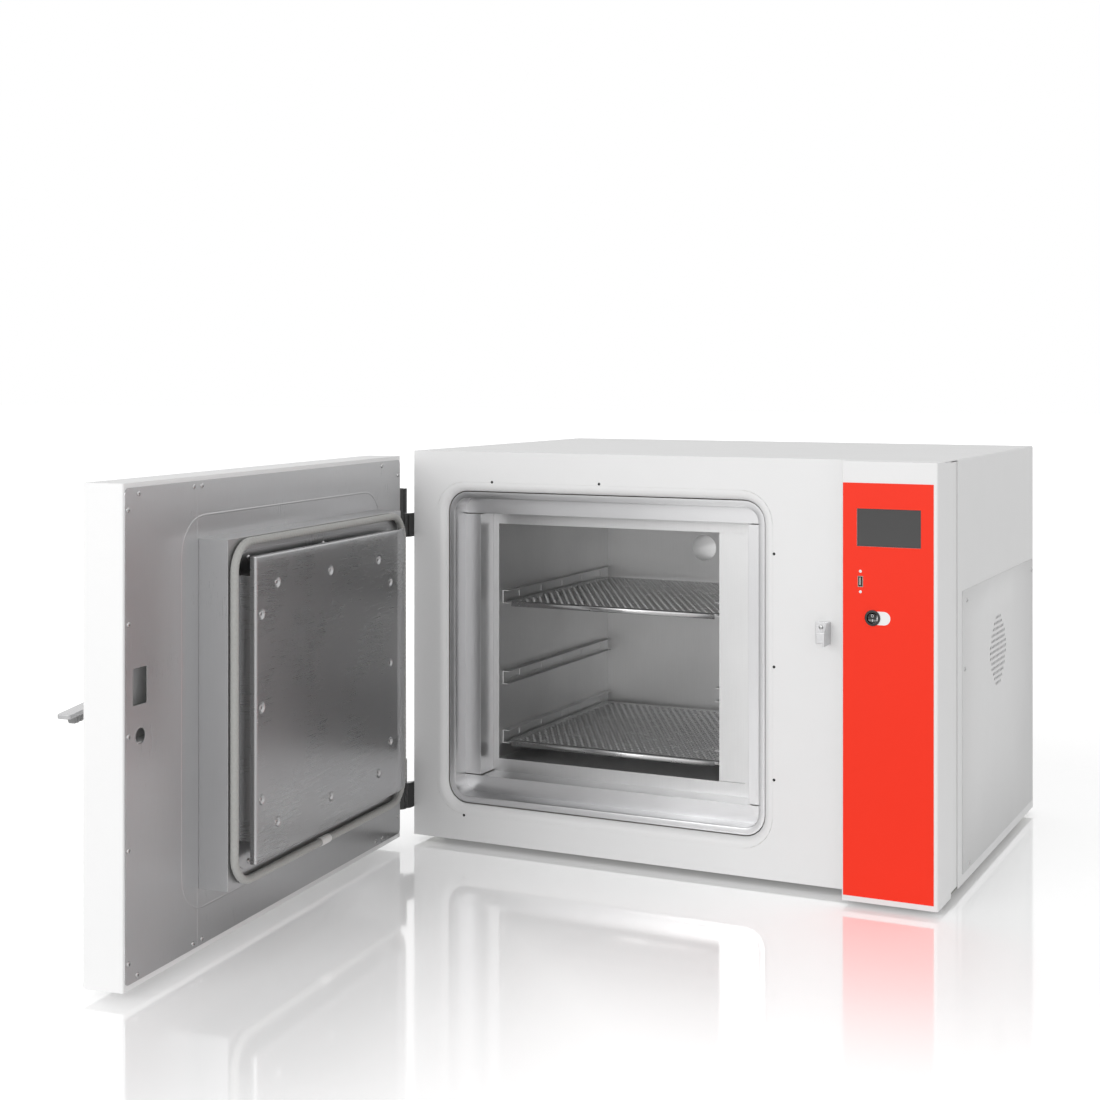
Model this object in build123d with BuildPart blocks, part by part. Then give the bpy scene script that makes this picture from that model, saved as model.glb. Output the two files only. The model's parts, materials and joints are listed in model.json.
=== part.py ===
from build123d import *
import math
import os

# High-temperature oven with a side-hung door, drawn with the door open.
# Case sizes run from the case's front left bottom corner: across to the right,
# back into the case, and up. The model's origin is under the front left foot.

# Case
main_width = 753
tower_width = 143
case_height = 635
case_depth = 600
sheet = 1.5
case_corner_radius = 3
seat_gap = 0.3
slab_gap = 0.4

# Feet
foot_diameter = 40
foot_height = 10
foot_inset_side = 45
foot_inset_front = 60
foot_inset_rear = 43.5
foot_screw_radius = 5

# Control tower
tower_forward = 42
tower_drop = 2
tower_side_return = 31.5
fascia_seam = 72
fascia_return_depth = 90
fascia_slot_foot = 60
fascia_slot_head = 20
label_thickness = 0.5
label_left = 755.5
label_right = 890
label_bottom = 6
label_top = case_height - 31
window_left = 776.6
window_right = 871.5
window_bottom = case_height - 122.5
window_top = case_height - 68
window_thickness = 2
window_lap = 5
module_depth = 12
board_depth = 1.6
board_margin = 8
board_standoff = 6
usb_across = 781.9
usb_up = case_height - 173.5
usb_width = 7.7
usb_height = 15.6
usb_depth = 14
usb_wall = 0.6
usb_tongue = 1.8
usb_flange_width = 15
usb_flange_height = 38
usb_screw_pitch = 29.6
switch_across = 800.2
switch_up = case_height - 225.2
switch_flange_radius = 11.5
switch_flange_thickness = 2
switch_body_radius = 9.7
switch_body_depth = 24
rocker_radius = 7.6
rocker_half_height = 6.4
rocker_clearance = 0.65
rocker_thickness = 7
rocker_travel = 9
rocker_pin_radius = 1.2

# Throat, ledge and mouth
throat_across = 338
throat_drop = 3.5
throat_up = case_height / 2 - throat_drop
throat_half_width = 266
throat_margin = 73.5
throat_half_height = case_height / 2 - throat_margin
throat_corner_radius = 23
roll_radius = 12
roll_flat = 3
lip_width = 12
ledge_depth = 45
ledge_half_width = throat_half_width - 29
ledge_half_height = throat_half_height - 27
member_gap = 1.5
mouth_depth = 87
liner_sheet = 1.2
flange_lap = 2

# Chamber and air plenum
chamber_left = throat_across - 226
chamber_right = throat_across + 170
chamber_bottom = throat_up - ledge_half_height + 21
chamber_top = throat_up + ledge_half_height - 20
chamber_back = case_depth - 95
plenum_width = 45
guide_setback = 4
guide_slot_height = 6
guide_slot_length = 70
guide_slot_pitch = 30
guide_slot_rows = 7

# Shelf runners and shelves
runner_heights = (chamber_bottom + 23, chamber_bottom + 122, chamber_top - 135)
runner_height = 22
runner_depth = 12
runner_front = 100
runner_back = chamber_back - 10
runner_slot_length = 34
runner_slot_height = 9
runner_slot_count = 5
shelf_heights = {"lower_shelf": runner_heights[0], "upper_shelf": runner_heights[2]}
shelf_front = 104
shelf_back = chamber_back - 13
shelf_sheet = 1.5
shelf_side_clearance = 1
shelf_lip = 7
shelf_slot_length = 78
shelf_slot_width = 14
shelf_slot_columns = 4
shelf_slot_rows = 12
shelf_border = 22
shelf_travel = 350

# Bay, fan and heater
bay_wall_across = 658.5
fan_back = chamber_back - 185
fan_up = throat_up + 1
shaft_radius = 6
shaft_clearance = 0.05
shaft_hole_radius = 12
impeller_radius = 85
impeller_width = 28
impeller_disc = 2
impeller_hub_radius = 16
impeller_blades = 12
blade_thickness = 2
fan_wall_clearance = 6
motor_radius = 50
motor_length = 86
motor_flange_radius = 60
motor_flange_thickness = 8
motor_standoff = 20
bracket_size = 150
bracket_sheet = 3
bracket_post_radius = 5
cooling_radius = 46
cooling_width = 18
cooling_blades = 8
cooling_gap = 14
shaft_stub = 6
element_radius = 4
element_rings = (104, 119)
element_ring_step = 16
element_gap_degrees = 30
terminal_radius = 7.5
terminal_length = 24
probe_radius = 3
probe_hole_clearance = 0.3
probe_reach = 14
probe_head_radius = 9
probe_head_length = 26
probe_back = chamber_back - 50
control_probe_up = chamber_top - 41
safety_probe_up = chamber_top - 71

# Rear
exhaust_across = chamber_left + 198
exhaust_up = chamber_top - 71
exhaust_radius = 25
exhaust_wall = 1.5
exhaust_spigot = 24
exhaust_collar_radius = 36
exhaust_collar_thickness = 2
inlet_across = 800
inlet_up = 80
inlet_width = 50
inlet_height = 28
inlet_flange_thickness = 3
inlet_body_width = 30
inlet_body_height = 23
inlet_body_depth = 28
inlet_recess_depth = 18
inlet_pin_width = 2
inlet_pin_height = 5
inlet_pin_spacing = 7
inlet_pin_length = 14
vent_slot_length = 90
vent_slot_height = 4
vent_slot_pitch = 12
vent_slot_count = 10

# Electrical parts in the bay
plate_front = 110
plate_back = 300
plate_bottom = 30
plate_top = 185
plate_sheet = 2
plate_spacer = 8
plate_post_inset = 20
relay_width = 45
relay_height = 60
relay_depth = 26
terminal_block_width = 90
terminal_block_height = 22
terminal_block_depth = 24
terminal_ways = 6

# Access panel on the right side
access_front = 98
access_back = case_depth - 8
access_bottom = 15
access_top = case_height - 198
access_sheet = 1.2
access_opening_margin = 14
access_vent_back = (access_front + access_back) / 2 - 17
access_vent_up = access_top - 120
access_vent_radius = 55
access_vent_rows = 12
access_vent_pitch = 9
access_vent_slot = 22
access_vent_slot_height = 4
access_vent_slot_gap = 4
access_screws = (
    (access_front + 22.6, access_top - 15.5),
    (access_back - 7, access_top - 18),
    (access_front + 10, access_top - 117.5),
    (access_front + 35, access_bottom + 8),
)

# Door
door_open_degrees = 83.8
door_width = main_width - 3
door_thickness = 60
door_bottom = 2.5
door_top = case_height - 8
door_gap = 12
hinge_axis_left = 14.3
hinge_axis_forward = 19.6
door_lip = 10
door_edge_radius = 3
door_liner_left = 2
door_liner_right = door_width - 2
door_liner_bottom = 10
door_liner_top = door_top - 6
door_liner_corner = 8
door_slab_end = door_width - 125
plug_start = throat_across - throat_half_width + 16
plug_end = throat_across + throat_half_width - 16
plug_bottom = throat_up - throat_half_height + 15
plug_top = throat_up + throat_half_height - 13
plug_depth = 44
face_plate_sheet = 1.2
face_plate_inset = 12
face_plate_corner = 30
face_screw_inset = 30
face_screw_margin = 10
rope_radius = 5.6
rope_stand = 0.8
rope_inset = 6
rope_start = plug_start + rope_inset
rope_end = plug_end - rope_inset
rope_bottom = plug_bottom + rope_inset
rope_top = plug_top - rope_inset
rope_corner = 38
sleeve_along = (plug_start + plug_end) / 2 + 8
sleeve_length = 26
sleeve_wall = 0.6
sleeve_clearance = 0.1
tray_start = plug_start + 24
tray_end = plug_end - 24
tray_bottom = plug_bottom + 31
tray_top = plug_top - 24
tray_rise = 26.8
tray_edge = 9.4
wing_width = 43
wing_drop = 9
dimple_radius = 7
dimple_floor_radius = 4.5
dimple_depth = 3
dimple_row_along = (tray_start + 105, tray_start + 252, tray_end - 54)
dimple_row_up = (tray_bottom + 44, tray_top - 39)
dimple_column_along = (tray_start + 66, tray_end - 14)
dimple_column_up = (tray_bottom + 83, (tray_bottom + tray_top) / 2 + 1.5, tray_top - 77)
channel_width = 22
channel_bottom = tray_bottom + 29
channel_top = tray_top - 26
channel_row_start = tray_start + 88
channel_row_end = tray_end - 36

# Latch
pivot_along = door_width - 95
pivot_up = throat_up + 31
pocket_start = pivot_along + 47.6
pocket_end = pivot_along + 76.8
pocket_bottom = pivot_up + 6
pocket_top = pivot_up + 52
latch_turn = 45
cam_reach = 66
cam_locked_degrees = 24.7
cam_width = 8
cam_offset = 9
cam_thickness = 4
cam_hub_radius = 9
spindle_radius = 5
spindle_clearance = 0.05
latch_case_start = pivot_along - 17
latch_case_end = door_width - 6
latch_case_bottom = pivot_up - 43
latch_case_top = pivot_up + 57
latch_case_depth = 22
striker_hole_radius = 10
striker_hole_along = pivot_along + 61.3
striker_hole_up = pivot_up - 33.4
rose_radius = 24
rose_thickness = 5
hub_radius = 13
lever_offset = 20
lever_width = 20
lever_thickness = 5.5
lever_end = door_width - 2
lever_fall_degrees = 6
grip_start = lever_end - 36
grip_end = lever_end - 13
grip_drop = 10
grip_taper = 14
grip_flute_radius = 2.2
keeper_web_across = pivot_along + 65
keeper_sheet = 3
keeper_reach = 30
keeper_bottom = pivot_up + 16
keeper_top = pivot_up + 49
keeper_nose_length = 9
keeper_nose_bottom = pivot_up + 21
keeper_nose_top = pivot_up + 36
keeper_foot_length = 23

# Hinges
barrel_radius = 11
barrel_gap = 0.4
pin_radius = 5
pin_clearance = 0.05
upper_hinge_top = case_height - 62.1
upper_hinge_split = upper_hinge_top - 41.3
upper_hinge_bottom = upper_hinge_top - 80.2
lower_hinge_bottom = 45.5
lower_hinge_split = 86.8
lower_hinge_top = 126.5
leaf_sheet = 3.5
leaf_length = 38
hinge_arm = 9

# Fasteners
screw_head_radius = 3.6
screw_head_height = 1.6
small_screw_radius = 2.2

total_width = main_width + tower_width
throat_outer_half_width = throat_half_width + roll_flat + roll_radius + lip_width
throat_outer_half_height = throat_half_height + roll_flat + roll_radius + lip_width
throat_outer_radius = throat_corner_radius + roll_flat + roll_radius + lip_width
plenum_right = chamber_right + plenum_width
liner_right = plenum_right + liner_sheet
corner = Vector(-foot_inset_side, -foot_inset_front, foot_height)


def facing_front(back):
    """Plane across the case at a depth: x right, y up, extrudes towards the front."""
    return Plane(corner + Vector(0, back, 0), x_dir=(1, 0, 0), z_dir=(0, -1, 0))


def facing_up(up):
    """Level plane at a height above the case's underside: x right, y back."""
    return Plane(corner + Vector(0, 0, up), x_dir=(1, 0, 0), z_dir=(0, 0, 1))


def facing_right(across):
    """Upright plane along the case: x back, y up, extrudes to the right."""
    return Plane(corner + Vector(across, 0, 0), x_dir=(0, 1, 0), z_dir=(1, 0, 0))


open_angle = math.radians(door_open_degrees)
along = Vector(math.cos(open_angle), -math.sin(open_angle), 0)
outward = Vector(-math.sin(open_angle), -math.cos(open_angle), 0)
hinge_axis = corner + Vector(-hinge_axis_left, -hinge_axis_forward, 0)
axis_offset = hinge_axis_forward - door_gap
door_corner = hinge_axis + along * hinge_axis_left - outward * axis_offset


def door_face(offset):
    """Plane parallel to the door: x along it from the hinge edge, y up, extrudes outwards."""
    return Plane(door_corner + outward * offset, x_dir=along, z_dir=outward)


def door_level(up):
    """Level plane in the door's own frame: x along the door, y inwards from its inner face."""
    return Plane(door_corner + Vector(0, 0, up), x_dir=along, z_dir=(0, 0, 1))


def span(left, right, low, high, mode=Mode.ADD):
    """Rectangle in the current sketch between two corners."""
    with Locations(((left + right) / 2, (low + high) / 2)):
        Rectangle(right - left, high - low, mode=mode)


def round_span(left, right, low, high, radius, mode=Mode.ADD):
    """Rectangle with rounded corners in the current sketch between two corners."""
    with Locations(((left + right) / 2, (low + high) / 2)):
        RectangleRounded(right - left, high - low, radius, mode=mode)


def block(plane, left, right, low, high, thickness):
    """A plain block on a plane, as thick as asked."""
    with BuildPart() as piece:
        with BuildSketch(plane):
            span(left, right, low, high)
        extrude(amount=thickness)
    return piece.part


def pins(plane, places, radius, length):
    """Equal round pins or screw heads that stand on a plane."""
    with BuildPart() as piece:
        with BuildSketch(plane):
            with Locations(*places):
                Circle(radius)
        extrude(amount=length)
    return piece.part


def joined(*pieces):
    """Separate solids kept together as one node."""
    return Compound(label="group", children=[solid for piece in pieces for solid in piece.solids()])


def save(part, name):
    """Label a finished piece and write it to its own file."""
    part.label = name
    export_step(part, f"parts/{name}.step")


os.makedirs("parts", exist_ok=True)

# Outer case: one wrapper bent over the left side, the top and the right side
with BuildPart() as outer_case:
    with BuildSketch(facing_front(sheet)):
        span(0, total_width, 0, case_height)
        span(sheet, total_width - sheet, -sheet, case_height - sheet, Mode.SUBTRACT)
    extrude(amount=-(case_depth - sheet))
    long_edges = outer_case.edges().filter_by(Axis.Y).group_by(Axis.Z)[-1]
    fillet(long_edges, case_corner_radius)
    with BuildSketch(facing_right(total_width - sheet)):
        span(0, fascia_seam, -sheet, case_height - sheet)
        span(
            access_front + access_opening_margin,
            access_back - access_opening_margin,
            access_bottom + access_opening_margin,
            access_top - access_opening_margin,
        )
    extrude(amount=sheet * 2, mode=Mode.SUBTRACT)
save(outer_case.part, "outer_case")

# Front fascia: flat front sheet with the throat opening and a return on the right
with BuildPart() as front_fascia:
    with BuildSketch(facing_front(0)):
        span(0, total_width - sheet - seat_gap, 0, case_height)
        round_span(
            throat_across - throat_outer_half_width,
            throat_across + throat_outer_half_width,
            throat_up - throat_outer_half_height,
            throat_up + throat_outer_half_height,
            throat_outer_radius,
            Mode.SUBTRACT,
        )
        span(
            window_left,
            window_right,
            label_bottom + fascia_slot_foot,
            label_top - fascia_slot_head,
            Mode.SUBTRACT,
        )
    extrude(amount=-sheet)
    with BuildSketch(facing_up(sheet * 2)):
        span(total_width - sheet * 2, total_width - sheet - seat_gap, sheet, fascia_return_depth)
    extrude(amount=case_height - sheet * 4)
save(front_fascia.part, "front_fascia")


def throat_ring(half_width, half_height, radius, plane):
    """Closed rounded wire round the throat's centre."""
    with BuildSketch(plane) as outline:
        with Locations((throat_across, throat_up)):
            RectangleRounded(2 * half_width, 2 * half_height, radius)
    return outline.sketch.faces()[0].outer_wire()


# Throat rim: the fascia's edge rolled inwards, a flat lip, and the wall back to the ledge
rim_path = throat_ring(
    throat_half_width, throat_half_height, throat_corner_radius, facing_front(0)
)
rim_start = rim_path @ 0
rim_heading = rim_path % 0
rim_side = rim_heading.cross(Vector(0, 1, 0))
rim_centre = corner + Vector(throat_across, 0, throat_up)
if rim_side.dot(rim_start - rim_centre) < 0:
    rim_side = rim_side * -1
rim_section_plane = Plane(rim_start, x_dir=rim_side, z_dir=rim_heading)
back_sign = 1 if rim_section_plane.y_dir.Y > 0 else -1
with BuildPart() as throat_rim:
    with BuildSketch(rim_section_plane) as rim_section:
        with BuildLine():
            roll_end = lip_width + roll_radius
            rim_outer = roll_end + roll_flat
            inner_roll = roll_radius - sheet
            Polyline(
                (rim_outer, back_sign * sheet),
                (rim_outer, 0),
                (roll_end, 0),
            )
            RadiusArc(
                (roll_end, 0),
                (lip_width, back_sign * roll_radius),
                back_sign * roll_radius,
            )
            Polyline(
                (lip_width, back_sign * roll_radius),
                (0, back_sign * roll_radius),
                (0, back_sign * ledge_depth),
                (sheet, back_sign * ledge_depth),
                (sheet, back_sign * (roll_radius + sheet)),
                (lip_width + sheet, back_sign * (roll_radius + sheet)),
                (lip_width + sheet, back_sign * roll_radius),
            )
            RadiusArc(
                (lip_width + sheet, back_sign * roll_radius),
                (roll_end, back_sign * sheet),
                -back_sign * inner_roll,
            )
            Line((roll_end, back_sign * sheet), (rim_outer, back_sign * sheet))
        make_face()
    sweep(path=rim_path)
save(throat_rim.part, "throat_rim")

# Throat frame: four angles, the top and bottom ones full width, the others between
ledge_outer_width = throat_half_width + sheet
ledge_outer_height = throat_half_height + sheet
member_depth = mouth_depth - ledge_depth - seat_gap / 3


def level_member(side):
    """Top or bottom angle: a front leg on the ledge and a leg back to the mouth."""
    low, high = sorted((side * ledge_half_height, side * ledge_outer_height))
    leg_low, leg_high = sorted((side * ledge_half_height, side * (ledge_half_height + sheet)))
    left = throat_across - ledge_outer_width
    right = throat_across + ledge_outer_width
    with BuildPart() as member:
        with BuildSketch(facing_front(ledge_depth)):
            span(left, right, throat_up + low, throat_up + high)
        extrude(amount=-sheet)
        with BuildSketch(facing_front(ledge_depth)):
            span(
                throat_across - ledge_half_width - sheet,
                throat_across + ledge_half_width + sheet,
                throat_up + leg_low,
                throat_up + leg_high,
            )
        extrude(amount=-member_depth)
    return member.part


def upright_member(side):
    """Left or right angle, fitted between the top and bottom ones."""
    low, high = sorted((side * ledge_half_width, side * ledge_outer_width))
    leg_low, leg_high = sorted((side * ledge_half_width, side * (ledge_half_width + sheet)))
    foot = throat_up - ledge_half_height + member_gap
    head = throat_up + ledge_half_height - member_gap
    with BuildPart() as member:
        with BuildSketch(facing_front(ledge_depth)):
            span(throat_across + low, throat_across + high, foot, head)
        extrude(amount=-sheet)
        with BuildSketch(facing_front(ledge_depth)):
            span(throat_across + leg_low, throat_across + leg_high, foot, head)
        extrude(amount=-member_depth)
    return member.part


save(joined(level_member(1), level_member(-1)), "throat_frame_rails")
save(joined(upright_member(-1), upright_member(1)), "throat_frame_uprights")

# Chamber liner: welded box, open at the front, with a flange behind the throat frame
fan_spot = (fan_back, fan_up)
probe_spots = ((probe_back, control_probe_up), (probe_back, safety_probe_up))
leg_angle = math.radians(element_gap_degrees / 2)
element_legs = [
    (fan_back + side * ring * math.sin(leg_angle), fan_up - ring * math.cos(leg_angle))
    for ring in element_rings
    for side in (-1, 1)
]
with BuildPart() as chamber_liner:
    with BuildSketch(facing_front(mouth_depth)):
        span(
            chamber_left - liner_sheet,
            liner_right,
            chamber_bottom - liner_sheet,
            chamber_top + liner_sheet,
        )
    extrude(amount=-(chamber_back - mouth_depth + liner_sheet))
    with BuildSketch(facing_front(mouth_depth)):
        span(
            throat_across - ledge_half_width - flange_lap,
            throat_across + ledge_half_width + flange_lap,
            throat_up - ledge_half_height - flange_lap,
            throat_up + ledge_half_height + flange_lap,
        )
    extrude(amount=-liner_sheet)
    with BuildSketch(facing_front(mouth_depth)):
        span(chamber_left, plenum_right, chamber_bottom, chamber_top)
    extrude(amount=-(chamber_back - mouth_depth), mode=Mode.SUBTRACT)
    with BuildSketch(facing_right(plenum_right)):
        with Locations(fan_spot):
            Circle(shaft_hole_radius)
        with Locations(*element_legs):
            Circle(element_radius + seat_gap)
        with Locations(*probe_spots):
            Circle(probe_radius + probe_hole_clearance)
    extrude(amount=liner_sheet, mode=Mode.SUBTRACT)
    with BuildSketch(facing_front(chamber_back)):
        with Locations((exhaust_across, exhaust_up)):
            Circle(exhaust_radius - exhaust_wall)
    extrude(amount=-liner_sheet, mode=Mode.SUBTRACT)
save(chamber_liner.part, "chamber_liner")

# Air guide: slotted sheet that parts the chamber from the fan, with returns front and back
guide_front = mouth_depth + guide_setback
guide_back = chamber_back - seat_gap
guide_low = chamber_bottom + seat_gap
guide_high = chamber_top - seat_gap
with BuildPart() as air_guide_panel:
    with BuildSketch(facing_up(guide_low)):
        span(chamber_right, chamber_right + liner_sheet, guide_front, guide_back)
        span(chamber_right, plenum_right - seat_gap, guide_front, guide_front + liner_sheet)
        span(chamber_right, plenum_right - seat_gap, guide_back - liner_sheet, guide_back)
    extrude(amount=guide_high - guide_low)
    with BuildSketch(facing_right(chamber_right)):
        with Locations((fan_back, fan_up)):
            with GridLocations(0, guide_slot_pitch, 1, guide_slot_rows):
                Rectangle(guide_slot_length, guide_slot_height)
        outlet_offset = (guide_back - guide_front) / 2 - guide_slot_length
        with Locations(
            ((guide_front + guide_back) / 2 - outlet_offset, fan_up),
            ((guide_front + guide_back) / 2 + outlet_offset, fan_up),
        ):
            with GridLocations(0, guide_slot_pitch * 2, 1, guide_slot_rows - 2):
                Rectangle(guide_slot_length / 2, guide_slot_height)
        with Locations(*probe_spots):
            Circle(probe_radius + probe_hole_clearance)
    extrude(amount=liner_sheet, mode=Mode.SUBTRACT)
save(air_guide_panel.part, "air_guide_panel")


def shelf_runners(wall, side):
    """Slotted channels at each shelf level, their backs on a chamber wall."""
    far = wall + side * runner_depth
    web = wall + side * liner_sheet
    with BuildPart() as runners:
        with BuildSketch(facing_front(runner_front)):
            for foot in runner_heights:
                span(min(wall, far), max(wall, far), foot, foot + runner_height)
                span(
                    min(web, far),
                    max(web, far),
                    foot + liner_sheet,
                    foot + runner_height - liner_sheet,
                    Mode.SUBTRACT,
                )
        extrude(amount=-(runner_back - runner_front))
        slot_pitch = (runner_back - runner_front) / runner_slot_count
        with BuildSketch(facing_right(min(wall, web))):
            for foot in runner_heights:
                with Locations(((runner_front + runner_back) / 2, foot + runner_height / 2)):
                    with GridLocations(slot_pitch, 0, runner_slot_count, 1):
                        Rectangle(runner_slot_length, runner_slot_height)
        extrude(amount=liner_sheet, mode=Mode.SUBTRACT)
    return runners.part


save(joined(shelf_runners(chamber_left, 1), shelf_runners(chamber_right, -1)), "shelf_runners")


def shelf(foot):
    """Perforated shelf plate on the runners' lower flanges, its front edge turned down."""
    left = chamber_left + liner_sheet + shelf_side_clearance
    right = chamber_right - liner_sheet - shelf_side_clearance
    lip_left = chamber_left + runner_depth + shelf_side_clearance
    lip_right = chamber_right - runner_depth - shelf_side_clearance
    under = foot + liner_sheet
    with BuildPart() as plate:
        with BuildSketch(facing_up(under)):
            span(left, right, shelf_front, shelf_back)
            column_pitch = (right - left - 2 * shelf_border) / shelf_slot_columns
            row_pitch = (shelf_back - shelf_front - 2 * shelf_border) / shelf_slot_rows
            with Locations(((left + right) / 2, (shelf_front + shelf_back) / 2)):
                with GridLocations(column_pitch, row_pitch, shelf_slot_columns, shelf_slot_rows):
                    Rectangle(shelf_slot_length, shelf_slot_width, mode=Mode.SUBTRACT)
        extrude(amount=shelf_sheet)
        with BuildSketch(facing_front(shelf_front)):
            span(lip_left, lip_right, under - shelf_lip, under)
        extrude(amount=-shelf_sheet)
    return plate.part


for name, foot in shelf_heights.items():
    save(shelf(foot), name)

# Base pan, four feet, rear panel
with BuildPart() as base_pan:
    with BuildSketch(facing_up(0)):
        span(
            sheet + seat_gap,
            total_width - sheet - seat_gap * 2,
            sheet + seat_gap,
            case_depth - sheet - seat_gap,
        )
        with Locations(((bay_wall_across + total_width) / 2, case_depth / 2)):
            with GridLocations(0, vent_slot_pitch * 2, 1, vent_slot_count):
                Rectangle(vent_slot_length, vent_slot_height, mode=Mode.SUBTRACT)
    extrude(amount=sheet)
save(base_pan.part, "base_pan")

foot_places = [
    (across, back)
    for across in (foot_inset_side, total_width - foot_inset_side)
    for back in (foot_inset_front, case_depth - foot_inset_rear)
]
with BuildPart() as feet:
    with BuildSketch(facing_up(0)):
        with Locations(*foot_places):
            Circle(foot_diameter / 2)
    extrude(amount=-foot_height)
    chamfer(feet.edges().group_by(Axis.Z)[0], foot_height / 8)
save(feet.part, "feet")

vent_across = (bay_wall_across + total_width) / 2
with BuildPart() as rear_panel:
    with BuildSketch(facing_front(case_depth - sheet)):
        span(
            sheet + seat_gap,
            total_width - sheet - seat_gap,
            seat_gap,
            case_height - sheet - seat_gap,
        )
        with Locations((exhaust_across, exhaust_up)):
            Circle(exhaust_radius + seat_gap, mode=Mode.SUBTRACT)
        with Locations((inlet_across, inlet_up)):
            Rectangle(
                inlet_body_width + 2 * seat_gap,
                inlet_body_height + 2 * seat_gap,
                mode=Mode.SUBTRACT,
            )
        with Locations((vent_across, case_height - vent_slot_length * 1.4)):
            with GridLocations(0, vent_slot_pitch, 1, vent_slot_count):
                Rectangle(vent_slot_length, vent_slot_height, mode=Mode.SUBTRACT)
    extrude(amount=-sheet)
save(rear_panel.part, "rear_panel")

# Bay wall between the hot side and the electrical bay
wall_holes = [(fan_back, fan_up)]
with BuildPart() as bay_wall:
    with BuildSketch(facing_right(bay_wall_across)):
        span(sheet * 2, case_depth - sheet - slab_gap, sheet, case_height - sheet - slab_gap)
        with Locations(*wall_holes):
            Circle(shaft_hole_radius, mode=Mode.SUBTRACT)
        with Locations(*element_legs):
            Circle(terminal_radius - 2, mode=Mode.SUBTRACT)
        with Locations(*probe_spots):
            Circle(probe_radius + probe_hole_clearance, mode=Mode.SUBTRACT)
    extrude(amount=sheet)
save(bay_wall.part, "bay_wall")
bay_face = bay_wall_across + sheet

# Insulation: slabs packed between the liner and the case
slab_front = mouth_depth + liner_sheet + slab_gap
slab_floor = sheet
slab_ceiling = case_height - sheet - slab_gap
slab_rear = case_depth - sheet - slab_gap
slab_left = sheet + slab_gap
left_slab_end = chamber_left - liner_sheet - slab_gap
right_slab_start = liner_right + slab_gap
right_slab_end = bay_wall_across - slab_gap
back_slab_start = chamber_back + liner_sheet + slab_gap
left_slab = block(
    facing_up(slab_floor), slab_left, left_slab_end, slab_front, slab_rear, slab_ceiling - slab_floor
)
top_slab = block(
    facing_up(chamber_top + liner_sheet),
    left_slab_end + slab_gap,
    right_slab_start - slab_gap,
    slab_front,
    back_slab_start - slab_gap,
    slab_ceiling - chamber_top - liner_sheet,
)
bottom_slab = block(
    facing_up(slab_floor),
    left_slab_end + slab_gap,
    right_slab_start - slab_gap,
    slab_front,
    back_slab_start - slab_gap,
    chamber_bottom - liner_sheet - slab_floor,
)
with BuildPart() as back_slab:
    with BuildSketch(facing_front(back_slab_start)):
        span(left_slab_end + slab_gap, right_slab_start - slab_gap, slab_floor, slab_ceiling)
        with Locations((exhaust_across, exhaust_up)):
            Circle(exhaust_radius + seat_gap, mode=Mode.SUBTRACT)
    extrude(amount=-(slab_rear - back_slab_start))

with BuildPart() as right_slab:
    with BuildSketch(facing_right(right_slab_start)):
        span(slab_front, slab_rear, slab_floor, slab_ceiling)
        with Locations(fan_spot):
            Circle(shaft_hole_radius, mode=Mode.SUBTRACT)
        with Locations(*element_legs):
            Circle(element_radius + seat_gap, mode=Mode.SUBTRACT)
        with Locations(*probe_spots):
            Circle(probe_radius + probe_hole_clearance, mode=Mode.SUBTRACT)
    extrude(amount=right_slab_end - right_slab_start)

with BuildPart() as front_slab:
    with BuildSketch(facing_front(roll_radius + sheet + slab_gap)):
        span(slab_left, right_slab_end, slab_floor, slab_ceiling)
        with Locations((throat_across, throat_up)):
            Rectangle(
                2 * (throat_outer_half_width - roll_radius),
                2 * (throat_outer_half_height - roll_radius),
                mode=Mode.SUBTRACT,
            )
    extrude(amount=-(slab_front - slab_gap - roll_radius - sheet - slab_gap))
save(
    joined(left_slab, top_slab, bottom_slab, back_slab.part, right_slab.part, front_slab.part),
    "chamber_insulation",
)

# Fan: shaft through the hot wall, impeller in the plenum, cooling wheel behind the motor
impeller_start = plenum_right - fan_wall_clearance - impeller_width
motor_start = bay_face + motor_standoff
motor_end = motor_start + motor_flange_thickness + motor_length
cooling_start = motor_end + cooling_gap
shaft_start = impeller_start - shaft_stub
shaft_end = cooling_start + cooling_width + shaft_stub
with BuildPart() as fan_shaft:
    with BuildSketch(facing_right(shaft_start)):
        with Locations(fan_spot):
            Circle(shaft_radius)
    extrude(amount=shaft_end - shaft_start)
save(fan_shaft.part, "fan_shaft")


def blade_wheel(start, width, radius, hub, blades, disc_at):
    """Wheel on the shaft: hub, back disc and straight radial blades."""
    bore = shaft_radius + shaft_clearance
    with BuildPart() as wheel:
        with BuildSketch(facing_right(start)):
            with Locations(fan_spot):
                Circle(hub)
        extrude(amount=width)
        with BuildSketch(facing_right(start)):
            with Locations(fan_spot):
                with PolarLocations((hub + radius) / 2 - 1, blades):
                    Rectangle(radius - hub + 2, blade_thickness)
        extrude(amount=width)
        with BuildSketch(facing_right(disc_at)):
            with Locations(fan_spot):
                Circle(radius)
        extrude(amount=impeller_disc)
        with BuildSketch(facing_right(start)):
            with Locations(fan_spot):
                Circle(bore)
        extrude(amount=width, mode=Mode.SUBTRACT)
    return wheel.part


save(
    blade_wheel(
        impeller_start,
        impeller_width,
        impeller_radius,
        impeller_hub_radius,
        impeller_blades,
        impeller_start + impeller_width - impeller_disc,
    ),
    "fan_impeller",
)
save(
    blade_wheel(
        cooling_start,
        cooling_width,
        cooling_radius,
        impeller_hub_radius,
        cooling_blades,
        cooling_start,
    ),
    "cooling_wheel",
)

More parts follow.
